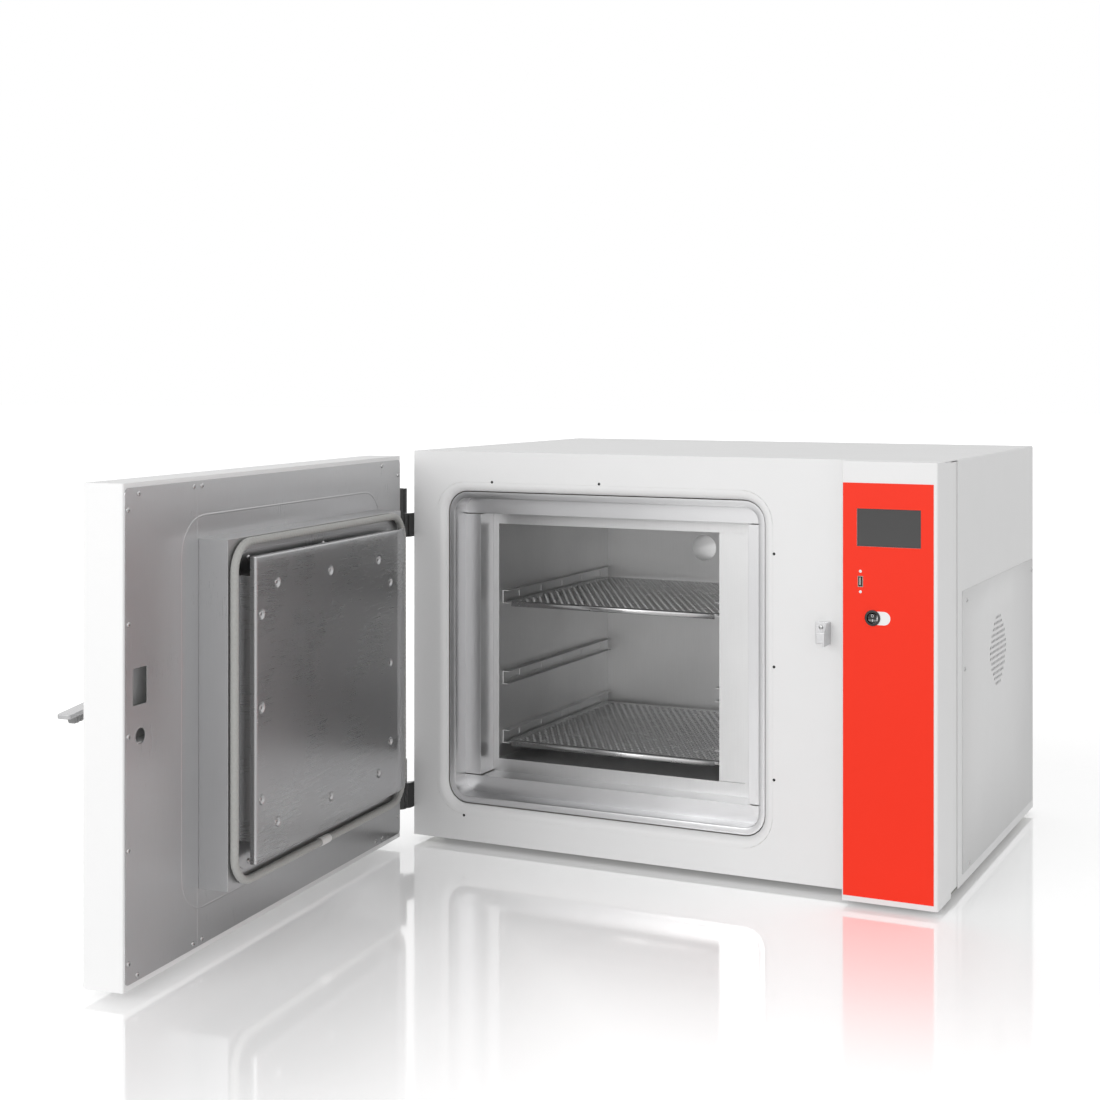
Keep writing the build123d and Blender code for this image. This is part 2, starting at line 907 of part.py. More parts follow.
with BuildPart() as fan_motor:
    with BuildSketch(facing_right(motor_start)):
        with Locations(fan_spot):
            Circle(motor_flange_radius)
    extrude(amount=motor_flange_thickness)
    with BuildSketch(facing_right(motor_start + motor_flange_thickness)):
        with Locations(fan_spot):
            Circle(motor_radius)
    extrude(amount=motor_length)
    fillet(fan_motor.edges().group_by(Axis.X)[-1], 5)
    with BuildSketch(facing_right(motor_start)):
        with Locations(fan_spot):
            Circle(shaft_radius + shaft_clearance)
    extrude(amount=motor_end - motor_start, mode=Mode.SUBTRACT)
save(fan_motor.part, "fan_motor")

with BuildPart() as motor_bracket:
    with BuildSketch(facing_right(motor_start - bracket_sheet)):
        with Locations(fan_spot):
            Rectangle(bracket_size, bracket_size)
            Circle(shaft_hole_radius, mode=Mode.SUBTRACT)
    extrude(amount=bracket_sheet)
    with BuildSketch(facing_right(bay_face)):
        with Locations(fan_spot):
            with GridLocations(bracket_size - 16, bracket_size - 16, 2, 2):
                Circle(bracket_post_radius)
    extrude(amount=motor_standoff - bracket_sheet)
save(motor_bracket.part, "motor_bracket")

# Heating element: open rings round the impeller, their legs out through the hot wall
element_start = chamber_right + liner_sheet + element_radius + 8
leg_end = bay_face + terminal_length + 6
fan_line = Axis(corner + Vector(0, fan_back, fan_up), (1, 0, 0))
with BuildPart() as heating_elements:
    for number, ring in enumerate(element_rings):
        ring_across = element_start + number * element_ring_step
        first_leg = Plane(
            corner
            + Vector(
                ring_across,
                fan_back + ring * math.sin(leg_angle),
                fan_up - ring * math.cos(leg_angle),
            ),
            x_dir=(1, 0, 0),
            z_dir=(0, math.cos(leg_angle), math.sin(leg_angle)),
        )
        with BuildSketch(first_leg):
            Circle(element_radius)
        revolve(axis=fan_line, revolution_arc=360 - element_gap_degrees)
        with BuildSketch(facing_right(ring_across - element_radius)):
            with Locations(*element_legs[2 * number : 2 * number + 2]):
                Circle(element_radius)
        extrude(amount=leg_end - ring_across + element_radius)
save(heating_elements.part, "heating_elements")

with BuildPart() as element_terminals:
    with BuildSketch(facing_right(bay_face)):
        with Locations(*element_legs):
            Circle(terminal_radius)
            Circle(element_radius + seat_gap / 2, mode=Mode.SUBTRACT)
    extrude(amount=terminal_length)
save(element_terminals.part, "element_terminals")


def probe(up):
    """Sheathed sensor: a rod from the chamber to the bay, with a head on the bay wall."""
    tip = chamber_right - probe_reach
    with BuildPart() as sensor:
        with BuildSketch(facing_right(tip)):
            with Locations((probe_back, up)):
                Circle(probe_radius)
        extrude(amount=bay_face - tip)
        with BuildSketch(facing_right(bay_face)):
            with Locations((probe_back, up)):
                Circle(probe_head_radius)
        extrude(amount=probe_head_length)
    return sensor.part


save(joined(probe(control_probe_up), probe(safety_probe_up)), "temperature_probes")

# Exhaust duct from the chamber's back wall to a spigot behind the rear panel
duct_start = chamber_back + liner_sheet
with BuildPart() as exhaust_duct:
    with BuildSketch(facing_front(duct_start)):
        with Locations((exhaust_across, exhaust_up)):
            Circle(exhaust_radius)
            Circle(exhaust_radius - exhaust_wall, mode=Mode.SUBTRACT)
    extrude(amount=-(case_depth - duct_start + exhaust_spigot))
    with BuildSketch(facing_front(case_depth)):
        with Locations((exhaust_across, exhaust_up)):
            Circle(exhaust_collar_radius)
            Circle(exhaust_radius - exhaust_wall, mode=Mode.SUBTRACT)
    extrude(amount=-exhaust_collar_thickness)
save(exhaust_duct.part, "exhaust_duct")

# Mains inlet: flanged socket with three blades in a recess
with BuildPart() as mains_inlet:
    with BuildSketch(facing_front(case_depth)):
        with Locations((inlet_across, inlet_up)):
            Rectangle(inlet_width, inlet_height)
    extrude(amount=-inlet_flange_thickness)
    with BuildSketch(facing_front(case_depth)):
        with Locations((inlet_across, inlet_up)):
            Rectangle(inlet_body_width, inlet_body_height)
    extrude(amount=inlet_body_depth)
    with BuildSketch(facing_front(case_depth + inlet_flange_thickness)):
        with Locations((inlet_across, inlet_up)):
            Rectangle(inlet_body_width - 5, inlet_body_height - 5)
    extrude(amount=inlet_recess_depth, mode=Mode.SUBTRACT)
    recess_floor = case_depth + inlet_flange_thickness - inlet_recess_depth
    with BuildSketch(facing_front(recess_floor)):
        with Locations((inlet_across, inlet_up)):
            with Locations((-inlet_pin_spacing, 0), (0, inlet_pin_spacing / 2), (inlet_pin_spacing, 0)):
                Rectangle(inlet_pin_width, inlet_pin_height)
    extrude(amount=-inlet_pin_length)
save(mains_inlet.part, "mains_inlet")

# Component plate on the bay wall, with the relay and the terminal block on it
plate_face = bay_face + plate_spacer + plate_sheet
plate_middle = ((plate_front + plate_back) / 2, (plate_bottom + plate_top) / 2)
with BuildPart() as component_plate:
    with BuildSketch(facing_right(bay_face + plate_spacer)):
        span(plate_front, plate_back, plate_bottom, plate_top)
    extrude(amount=plate_sheet)
    with BuildSketch(facing_right(bay_face)):
        with Locations(plate_middle):
            with GridLocations(
                plate_back - plate_front - plate_post_inset,
                plate_top - plate_bottom - plate_post_inset,
                2,
                2,
            ):
                Circle(bracket_post_radius)
    extrude(amount=plate_spacer)
save(component_plate.part, "component_plate")

with BuildPart() as relay:
    with BuildSketch(facing_right(plate_face)):
        with Locations((plate_middle[0], plate_middle[1] + relay_height / 2)):
            Rectangle(relay_width, relay_height)
    extrude(amount=relay_depth)
    fillet(relay.edges().filter_by(Axis.X), 3)
save(relay.part, "relay")

with BuildPart() as terminal_block:
    with BuildSketch(facing_right(plate_face)):
        with Locations((plate_middle[0], plate_bottom + 1.5 * terminal_block_height)):
            Rectangle(terminal_block_width, terminal_block_height)
    extrude(amount=terminal_block_depth)
    way_pitch = terminal_block_width / terminal_ways
    with BuildSketch(facing_right(plate_face + terminal_block_depth)):
        with Locations((plate_middle[0], plate_bottom + 1.5 * terminal_block_height)):
            with GridLocations(way_pitch, 0, terminal_ways, 1):
                Rectangle(way_pitch * 0.6, terminal_block_height * 0.6)
    extrude(amount=-terminal_block_depth / 2, mode=Mode.SUBTRACT)
save(terminal_block.part, "terminal_block")

# Access panel on the right side, with a round field of vent slots and four screws
with BuildPart() as access_panel:
    with BuildSketch(facing_right(total_width)):
        span(access_front, access_back, access_bottom, access_top)
        for row in range(access_vent_rows):
            row_up = (row - (access_vent_rows - 1) / 2) * access_vent_pitch
            chord = 2 * math.sqrt(access_vent_radius**2 - row_up**2)
            slot_pitch = access_vent_slot + access_vent_slot_gap
            count = max(1, int(chord / slot_pitch))
            with Locations((access_vent_back, access_vent_up + row_up)):
                with GridLocations(slot_pitch, 0, count, 1):
                    Rectangle(access_vent_slot, access_vent_slot_height, mode=Mode.SUBTRACT)
    extrude(amount=access_sheet)
save(access_panel.part, "access_panel")
access_heads = pins(
    facing_right(total_width + access_sheet), access_screws, screw_head_radius, screw_head_height
)

# Control tower: cover that stands forward of the fascia beside the door
tower_left = main_width
tower_right = total_width
with BuildPart() as control_tower:
    with BuildSketch(facing_front(-tower_forward)):
        span(tower_left, tower_right, -tower_drop, case_height)
    extrude(amount=-tower_forward)
    fillet(control_tower.edges().filter_by(Axis.Z).group_by(Axis.Y)[0], case_corner_radius)
    with BuildSketch(facing_front(-tower_forward + sheet)):
        span(
            tower_left + sheet,
            tower_right - sheet,
            -tower_drop + sheet,
            case_height - sheet,
        )
    extrude(amount=-(tower_forward - sheet), mode=Mode.SUBTRACT)
    with BuildSketch(facing_front(0)):
        span(tower_right - sheet, tower_right, -tower_drop, case_height - sheet - seat_gap)
    extrude(amount=-tower_side_return)
    with BuildSketch(facing_front(-tower_forward)):
        span(window_left, window_right, window_bottom, window_top)
        with Locations((usb_across, usb_up)):
            Rectangle(usb_width + seat_gap, usb_height + seat_gap)
        with Locations((switch_across, switch_up)):
            Circle(switch_body_radius + seat_gap)
    extrude(amount=-sheet, mode=Mode.SUBTRACT)
save(control_tower.part, "control_tower")

with BuildPart() as label_panel:
    with BuildSketch(facing_front(-tower_forward)):
        span(label_left, label_right, label_bottom, label_top)
        span(window_left, window_right, window_bottom, window_top, Mode.SUBTRACT)
        with Locations((usb_across, usb_up)):
            Rectangle(usb_width + seat_gap, usb_height + seat_gap, mode=Mode.SUBTRACT)
        with Locations((switch_across, switch_up)):
            Circle(switch_body_radius + seat_gap, mode=Mode.SUBTRACT)
    extrude(amount=label_thickness)
save(label_panel.part, "label_panel")
label_face = -tower_forward - label_thickness
tower_inside = -tower_forward + sheet

save(
    block(
        facing_front(tower_inside + window_thickness),
        window_left - window_lap,
        window_right + window_lap,
        window_bottom - window_lap,
        window_top + window_lap,
        window_thickness,
    ),
    "display_window",
)
module_back = tower_inside + window_thickness + module_depth
save(
    block(
        facing_front(module_back),
        window_left - window_lap,
        window_right + window_lap,
        window_bottom - window_lap,
        window_top + window_lap,
        module_depth,
    ),
    "display_module",
)
with BuildPart() as control_board:
    with BuildSketch(facing_front(module_back + board_standoff + board_depth)):
        span(
            window_left - board_margin,
            window_right + board_margin,
            usb_up + usb_flange_height,
            window_top + board_margin,
        )
    extrude(amount=board_depth)
    with BuildSketch(facing_front(module_back + board_standoff)):
        with Locations(((window_left + window_right) / 2, (window_bottom + window_top) / 2)):
            with GridLocations(window_right - window_left - 8, window_top - window_bottom - 8, 2, 2):
                Rectangle(6, 6)
    extrude(amount=board_standoff)
save(control_board.part, "control_board")

# Data socket: thin shell with a tongue and a flange behind the cover
with BuildPart() as usb_socket:
    with BuildSketch(facing_front(label_face)):
        with Locations((usb_across, usb_up)):
            Rectangle(usb_width, usb_height)
            Rectangle(usb_width - 2 * usb_wall, usb_height - 2 * usb_wall, mode=Mode.SUBTRACT)
    extrude(amount=-usb_depth)
    with BuildSketch(facing_front(label_face + usb_depth)):
        with Locations((usb_across, usb_up)):
            Rectangle(usb_width, usb_height)
    extrude(amount=usb_wall)
    with BuildSketch(facing_front(label_face + usb_depth)):
        with Locations((usb_across - usb_width / 6, usb_up)):
            Rectangle(usb_tongue, usb_height * 0.7)
    extrude(amount=usb_depth * 0.85)
    with BuildSketch(facing_front(tower_inside)):
        with Locations((usb_across, usb_up)):
            Rectangle(usb_flange_width, usb_flange_height)
            Rectangle(usb_width - usb_wall, usb_height - usb_wall, mode=Mode.SUBTRACT)
    extrude(amount=-sheet)
save(usb_socket.part, "usb_socket")
usb_screw_places = [(usb_across, usb_up + side * usb_screw_pitch / 2) for side in (-1, 1)]
usb_heads = pins(
    facing_front(label_face), usb_screw_places, small_screw_radius, screw_head_height / 2
)

# Power switch: round housing with a rocker that tilts on a level pin
pivot_depth = label_face - switch_flange_thickness + rocker_thickness
cavity_radius = rocker_radius + rocker_clearance
with BuildPart() as switch_housing:
    with BuildSketch(facing_front(label_face)):
        with Locations((switch_across, switch_up)):
            Circle(switch_flange_radius)
    extrude(amount=switch_flange_thickness)
    fillet(switch_housing.edges().group_by(Axis.Y)[0], switch_flange_thickness / 2)
    with BuildSketch(facing_front(label_face)):
        with Locations((switch_across, switch_up)):
            Circle(switch_body_radius)
    extrude(amount=-switch_body_depth)
    with BuildSketch(facing_front(label_face - switch_flange_thickness)):
        with Locations((switch_across, switch_up)):
            Circle(cavity_radius)
    extrude(amount=-(rocker_thickness * 2 + switch_flange_thickness), mode=Mode.SUBTRACT)
    with BuildSketch(facing_right(switch_across - cavity_radius)):
        with Locations((pivot_depth, switch_up)):
            Circle(rocker_pin_radius)
    extrude(amount=cavity_radius * 2)
save(switch_housing.part, "switch_housing")

rocker_front = label_face - switch_flange_thickness
with BuildPart() as switch_rocker:
    with BuildSketch(facing_right(switch_across - rocker_radius)):
        with BuildLine():
            Polyline(
                (rocker_front + rocker_thickness * 1.5, switch_up - rocker_half_height * 0.7),
                (rocker_front + 1.6, switch_up - rocker_half_height),
                (rocker_front + 0.6, switch_up - rocker_half_height),
            )
            ThreePointArc(
                (rocker_front + 0.6, switch_up - rocker_half_height),
                (rocker_front + 2, switch_up),
                (rocker_front - 1, switch_up + rocker_half_height),
            )
            Polyline(
                (rocker_front - 1, switch_up + rocker_half_height),
                (rocker_front + 1.6, switch_up + rocker_half_height),
                (rocker_front + rocker_thickness * 1.5, switch_up + rocker_half_height * 0.7),
                (rocker_front + rocker_thickness * 1.5, switch_up - rocker_half_height * 0.7),
            )
        make_face()
        with Locations((pivot_depth, switch_up)):
            Circle(rocker_pin_radius + shaft_clearance, mode=Mode.SUBTRACT)
    extrude(amount=rocker_radius * 2)
    with BuildSketch(facing_front(rocker_front - 4)):
        with Locations((switch_across, switch_up)):
            Circle(rocker_radius - rocker_clearance)
    extrude(amount=-(rocker_thickness * 2 + 6), mode=Mode.INTERSECT)
save(switch_rocker.part, "switch_rocker")

# Door keeper on the fascia: foot, web and a nose bent to the left
web_right = keeper_web_across + keeper_sheet
with BuildPart() as door_keeper:
    with BuildSketch(facing_up(keeper_bottom)):
        span(keeper_web_across, web_right, -keeper_reach, 0)
        span(web_right - keeper_foot_length, web_right, -keeper_sheet, 0)
    extrude(amount=keeper_top - keeper_bottom)
    with BuildSketch(facing_up(keeper_nose_bottom)):
        span(
            keeper_web_across - keeper_nose_length,
            keeper_web_across,
            -keeper_reach,
            -keeper_reach + keeper_sheet + 1,
        )
    extrude(amount=keeper_nose_top - keeper_nose_bottom)
    with BuildSketch(facing_right(keeper_web_across)):
        with BuildLine():
            Polyline(
                (-keeper_reach, keeper_nose_top),
                (-keeper_reach, keeper_top),
                (-keeper_reach * 0.55, keeper_top),
                (-keeper_reach, keeper_nose_top),
            )
        make_face()
    extrude(amount=keeper_sheet, mode=Mode.SUBTRACT)
save(door_keeper.part, "door_keeper")
keeper_screw_places = [
    (web_right - keeper_foot_length * 0.62, keeper_bottom + fraction * (keeper_top - keeper_bottom))
    for fraction in (0.25, 0.75)
]
keeper_heads = pins(
    facing_front(-keeper_sheet), keeper_screw_places, screw_head_radius, screw_head_height
)
save(joined(access_heads, keeper_heads), "cabinet_screws")

rivet_across = throat_across + throat_half_width + 29.6
rivet_top = throat_up + throat_half_height + 28
rivet_places = (
    (rivet_across, throat_up + 176.8),
    (rivet_across, throat_up + 7),
    (rivet_across, throat_up - 163),
    (throat_across - 190.2, rivet_top),
    (throat_across + 2.8, rivet_top + 2),
    (throat_across - 242.6, throat_up - throat_half_height - 29),
)
rivet_heads = pins(facing_front(0), rivet_places, small_screw_radius, screw_head_height / 2)
save(joined(usb_heads, rivet_heads), "front_screws")

# Door shell: painted tray, its edges turned in behind the liner
shell_front = liner_sheet
with BuildPart() as door_shell:
    with BuildSketch(door_face(shell_front)):
        span(0, door_width, door_bottom, door_top)
    extrude(amount=door_thickness - shell_front)
    outer_edges = door_shell.edges().filter_by(Axis.Z).sort_by_distance(door_corner)[-2:]
    fillet(outer_edges, door_edge_radius)
    with BuildSketch(door_face(shell_front + sheet)):
        span(sheet, door_width - sheet, door_bottom + sheet, door_top - sheet)
    extrude(amount=door_thickness - shell_front - 2 * sheet, mode=Mode.SUBTRACT)
    with BuildSketch(door_face(shell_front)):
        span(door_lip, door_width - door_lip, door_bottom + door_lip, door_top - door_lip)
    extrude(amount=sheet, mode=Mode.SUBTRACT)
    with BuildSketch(door_face(door_thickness - sheet)):
        with Locations((pivot_along, pivot_up)):
            Circle(spindle_radius + spindle_clearance * 4)
    extrude(amount=sheet, mode=Mode.SUBTRACT)
save(door_shell.part, "door_shell")

with BuildPart() as door_liner:
    with BuildSketch(door_face(0)):
        round_span(door_liner_left, door_liner_right, door_liner_bottom, door_liner_top, door_liner_corner)
        round_span(pocket_start, pocket_end, pocket_bottom, pocket_top, 2, Mode.SUBTRACT)
        with Locations((striker_hole_along, striker_hole_up)):
            Circle(striker_hole_radius, mode=Mode.SUBTRACT)
    extrude(amount=liner_sheet)
save(door_liner.part, "door_liner")

screw_row_top = door_liner_top - 7
screw_row_bottom = door_liner_bottom + 7
screw_column_right = door_liner_right - 7
screw_column_left = door_liner_left + 7
liner_screw_places = (
    (door_liner_right - 28, screw_row_top - 1),
    (screw_column_right + 1, door_liner_top - 27),
    (door_liner_right - 149, screw_row_top),
    (door_liner_right - 168, screw_row_top),
    (screw_column_right, door_liner_top - 168),
    (screw_column_right, door_liner_top - 306),
    (screw_column_right, door_liner_bottom + 165),
    (screw_column_right, door_liner_bottom + 26),
    (door_liner_right - 25, screw_row_bottom),
    (door_liner_right - 147, screw_row_bottom),
    (door_liner_right - 168, screw_row_bottom),
    (door_liner_left + 64, screw_row_top),
    (screw_column_left, door_liner_top - 25),
    (screw_column_left, door_liner_bottom + 29),
    (door_liner_left + 85, screw_row_bottom),
    (door_liner_left + 64, screw_row_bottom),
)
liner_heads = pins(door_face(0), liner_screw_places, screw_head_radius, -screw_head_height)

door_slab = block(
    door_face(shell_front + sheet),
    sheet + slab_gap,
    door_slab_end,
    door_bottom + sheet + slab_gap,
    door_top - sheet - slab_gap,
    door_thickness - shell_front - 2 * sheet - slab_gap,
)

# Plug: sheet box on the liner, packed with insulation, with a face plate inside the rope
with BuildPart() as plug_box:
    with BuildSketch(door_face(-plug_depth)):
        span(plug_start, plug_end, plug_bottom, plug_top)
    extrude(amount=plug_depth)
    with BuildSketch(door_face(-plug_depth + liner_sheet)):
        span(
            plug_start + liner_sheet,
            plug_end - liner_sheet,
            plug_bottom + liner_sheet,
            plug_top - liner_sheet,
        )
    extrude(amount=plug_depth - liner_sheet, mode=Mode.SUBTRACT)
save(plug_box.part, "plug_box")
plug_fill = liner_sheet + slab_gap
plug_slab = block(
    door_face(-plug_depth + liner_sheet),
    plug_start + plug_fill,
    plug_end - plug_fill,
    plug_bottom + plug_fill,
    plug_top - plug_fill,
    plug_depth - liner_sheet - slab_gap,
)
save(joined(door_slab, plug_slab), "door_insulation")

face_start = rope_start + face_plate_inset
face_end = rope_end - face_plate_inset
face_bottom = rope_bottom + face_plate_inset
face_top = rope_top - face_plate_inset
with BuildPart() as plug_face:
    with BuildSketch(door_face(-plug_depth)):
        round_span(face_start, face_end, face_bottom, face_top, face_plate_corner)
    extrude(amount=-face_plate_sheet)
save(plug_face.part, "plug_face")
plug_screw_places = [
    (place, up)
    for up in (face_bottom + face_screw_margin, face_top - face_screw_margin)
    for place in (
        face_start + face_screw_inset,
        (face_start + face_end) / 2,
        face_end - face_screw_inset,
    )
]
plate_offset = -plug_depth - face_plate_sheet
plug_heads = pins(
    door_face(plate_offset), plug_screw_places, screw_head_radius, -screw_head_height
)

# Rope seal round the plug's face, with a sleeve over its joint
rope_offset = -plug_depth - rope_stand - rope_radius
with BuildSketch(door_face(rope_offset)) as rope_outline:
    round_span(rope_start, rope_end, rope_bottom, rope_top, rope_corner)
rope_path = rope_outline.sketch.faces()[0].outer_wire()
with BuildPart() as rope_seal:
    with BuildSketch(Plane(rope_path @ 0, z_dir=rope_path % 0)):
        Circle(rope_radius)
    sweep(path=rope_path)
save(rope_seal.part, "rope_seal")

sleeve_plane = Plane(
    door_corner
    + along * (sleeve_along - sleeve_length / 2)
    + outward * rope_offset
    + Vector(0, 0, rope_bottom),
    z_dir=along,
)
sleeve_bore = rope_radius + sleeve_clearance
with BuildPart() as seal_sleeve:
    with BuildSketch(sleeve_plane):
        Circle(sleeve_bore + sleeve_wall)
        Circle(sleeve_bore, mode=Mode.SUBTRACT)
    extrude(amount=sleeve_length)
save(seal_sleeve.part, "seal_sleeve")

# Inner tray: pressed sheet in front of the plug, with a bent wing on the hinge side
tray_offset = -plug_depth - face_plate_sheet - tray_rise
tray_back = -tray_offset - tray_edge
dimple_places = [(place, up) for place in dimple_row_along for up in dimple_row_up]
dimple_places += [(place, up) for place in dimple_column_along for up in dimple_column_up]
wing_end = tray_start + wing_width
with BuildPart() as inner_tray:
    with BuildSketch(door_level(tray_bottom)):
        with BuildLine():
            Polyline(
                (tray_end, tray_back),
                (tray_end, -tray_offset),
                (wing_end, -tray_offset),
                (tray_start, -tray_offset - wing_drop),
                (tray_start, -tray_offset - wing_drop - liner_sheet),
                (wing_end, -tray_offset - liner_sheet),
                (tray_end - liner_sheet, -tray_offset - liner_sheet),
                (tray_end - liner_sheet, tray_back),
                (tray_end, tray_back),
            )
        make_face()
    extrude(amount=tray_top - tray_bottom)
    for low in (tray_bottom, tray_top - liner_sheet):
        with BuildSketch(door_level(low)):
            span(wing_end, tray_end, tray_back, -tray_offset)
        extrude(amount=liner_sheet)
    dimple_slope = math.degrees(math.atan((dimple_radius - dimple_floor_radius) / dimple_depth))
    with BuildSketch(door_face(tray_offset)):
        with Locations(*dimple_places):
            Circle(dimple_radius + liner_sheet)
    extrude(amount=dimple_depth + liner_sheet, taper=dimple_slope / 1.3)
    with BuildSketch(door_face(tray_offset)):
        with Locations(*dimple_places):
            Circle(dimple_radius)
    extrude(
        amount=dimple_depth,
        taper=dimple_slope,
        mode=Mode.SUBTRACT,
    )
save(inner_tray.part, "inner_tray")
tray_heads = pins(
    door_face(tray_offset + dimple_depth),
    dimple_places,
    dimple_floor_radius - 1,
    -screw_head_height,
)
save(joined(liner_heads, plug_heads, tray_heads), "door_screws")

# Stand-offs: channels from the plug's face plate to the tray's dimples
channel_foot = plug_depth + face_plate_sheet
channel_head = -tray_offset - dimple_depth - liner_sheet


def channel_section(centre, start, end):
    """Channel profile: foot, web and head, open towards the smaller coordinate."""
    web = centre + channel_width / 2
    span(centre - channel_width / 2, web, start, start + liner_sheet)
    span(centre - channel_width / 2, web, end - liner_sheet, end)
    span(web - liner_sheet, web, start, end)


with BuildPart() as tray_standoffs:
    with BuildSketch(door_level(channel_bottom)):
        for place in dimple_column_along:
            channel_section(place, channel_foot, channel_head)
    extrude(amount=channel_top - channel_bottom)
    for up in dimple_row_up:
        with BuildSketch(
            Plane(
                door_corner + along * channel_row_start + Vector(0, 0, up),
                x_dir=(0, 0, -1),
                z_dir=along,
            )
        ):
            for start, end in (
                (channel_foot, channel_foot + liner_sheet),
                (channel_head - liner_sheet, channel_head),
            ):
                span(-channel_width / 2, channel_width / 2, start, end)
            web_up = channel_width / 2
            span(web_up - liner_sheet, web_up, channel_foot, channel_head)
        extrude(amount=channel_row_end - channel_row_start)
save(tray_standoffs.part, "tray_standoffs")

# Latch case: bracket behind the pocket that carries the spindle
case_back = latch_case_depth
with BuildPart() as latch_case:
    with BuildSketch(door_face(case_back)):
        span(latch_case_start, latch_case_end, latch_case_bottom, latch_case_top)
        with Locations((pivot_along, pivot_up)):
            Circle(spindle_radius + spindle_clearance, mode=Mode.SUBTRACT)
    extrude(amount=sheet)
    with BuildSketch(door_face(shell_front + sheet)):
        span(latch_case_start, latch_case_end, latch_case_top - sheet, latch_case_top)
        span(latch_case_start, latch_case_end, latch_case_bottom, latch_case_bottom + sheet)
        span(latch_case_end - sheet, latch_case_end, latch_case_bottom, latch_case_top)
    extrude(amount=case_back - shell_front - sheet)
save(latch_case.part, "latch_case")

with BuildPart() as handle_rose:
    with BuildSketch(door_face(door_thickness)):
        with Locations((pivot_along, pivot_up)):
            Circle(rose_radius)
    extrude(amount=rose_thickness)
    rose_rim = handle_rose.edges().sort_by_distance(door_corner + outward * 1000)[0]
    fillet(rose_rim, rose_thickness / 2)
    with BuildSketch(door_face(door_thickness)):
        with Locations((pivot_along, pivot_up)):
            Circle(spindle_radius + spindle_clearance)
    extrude(amount=rose_thickness, mode=Mode.SUBTRACT)
save(handle_rose.part, "handle_rose")

# Latch: spindle with the cam inside the door and the lever outside it
lever_start = door_thickness + rose_thickness + seat_gap
spindle_start = cam_offset - 2
spindle_end = door_thickness + lever_offset + lever_width * 0.6
save(
    pins(door_face(spindle_start), [(pivot_along, pivot_up)], spindle_radius, spindle_end - spindle_start),
    "latch_spindle",
)

cam_angle = math.radians(cam_locked_degrees - latch_turn)
cam_arm_length = cam_reach - cam_width / 2
with BuildPart() as latch_cam:
    with BuildSketch(door_face(cam_offset)):
        with Locations((pivot_along, pivot_up)):
            Circle(cam_hub_radius)
        with Locations(
            Location(
                (
                    pivot_along + cam_arm_length / 2 * math.cos(cam_angle),
                    pivot_up + cam_arm_length / 2 * math.sin(cam_angle),
                ),
                math.degrees(cam_angle),
            )
        ):
            SlotCenterToCenter(cam_arm_length, cam_width)
        with Locations((pivot_along, pivot_up)):
            Circle(spindle_radius + spindle_clearance, mode=Mode.SUBTRACT)
    extrude(amount=cam_thickness)
save(latch_cam.part, "latch_cam")

fall = math.radians(lever_fall_degrees)
lever_plane = Plane(
    door_corner + along * pivot_along + Vector(0, 0, pivot_up),
    x_dir=along * math.cos(fall) - Vector(0, 0, math.sin(fall)),
    z_dir=outward,
)
lever_length = (lever_end - pivot_along) / math.cos(fall)
lever_low = door_thickness + lever_offset
with BuildPart() as latch_lever:
    with BuildSketch(lever_plane.offset(lever_low)):
        with Locations((lever_length / 2, 0)):
            Rectangle(lever_length, lever_thickness)
        Circle(hub_radius)
        Circle(spindle_radius + spindle_clearance, mode=Mode.SUBTRACT)
    extrude(amount=lever_width)
    with BuildSketch(lever_plane.offset(lever_start)):
        Circle(hub_radius)
        Circle(spindle_radius + spindle_clearance, mode=Mode.SUBTRACT)
    extrude(amount=lever_low - lever_start)
    tip_edges = latch_lever.edges().filter_by(Axis(lever_plane.origin, lever_plane.y_dir))
    tip_edges = tip_edges.sort_by(Axis(lever_plane.origin, lever_plane.x_dir))[-2:]
    fillet(tip_edges, lever_width / 5)
save(latch_lever.part, "latch_lever")

# Grip: fluted finger block under the lever's free end
grip_first = grip_start - pivot_along
grip_last = grip_end - pivot_along
grip_head = -lever_thickness / 2
with BuildPart() as lever_grip:
    with BuildSketch(
        Plane(
            lever_plane.origin + outward * (lever_low + lever_width / 2) + lever_plane.y_dir * grip_head,
            x_dir=lever_plane.x_dir,
            z_dir=-lever_plane.y_dir,
        )
    ):
        with Locations(((grip_first + grip_last) / 2, 0)):
            Rectangle(grip_last - grip_first, lever_width - 2)
        flute_pitch = (grip_last - grip_first) / 3
        for side in (-1, 1):
            with Locations(((grip_first + grip_last) / 2, side * (lever_width - 2) / 2)):
                with GridLocations(flute_pitch, 0, 3, 1):
                    Circle(grip_flute_radius, mode=Mode.SUBTRACT)
    extrude(amount=grip_drop, taper=grip_taper)
save(lever_grip.part, "lever_grip")


def case_hinge_half(low, high):
    """Lower knuckle of a lift-off hinge, its leaf on the case's left side."""
    with BuildPart() as half:
        with BuildSketch(facing_up(low)):
            with Locations((-hinge_axis_left, -hinge_axis_forward)):
                Circle(barrel_radius)
            with BuildLine():
                Polyline(
                    (-hinge_axis_left - hinge_arm / 2, -hinge_axis_forward),
                    (-hinge_axis_left + hinge_arm, -hinge_axis_forward),
                    (0, -door_gap + 1.5),
                    (0, leaf_length),
                    (-leaf_sheet, leaf_length),
                    (-leaf_sheet, leaf_sheet),
                    (-hinge_axis_left - hinge_arm / 2, -hinge_axis_forward),
                )
            make_face()
            with Locations((-hinge_axis_left, -hinge_axis_forward)):
                Circle(pin_radius + pin_clearance, mode=Mode.SUBTRACT)
        extrude(amount=high - low)
    return half.part


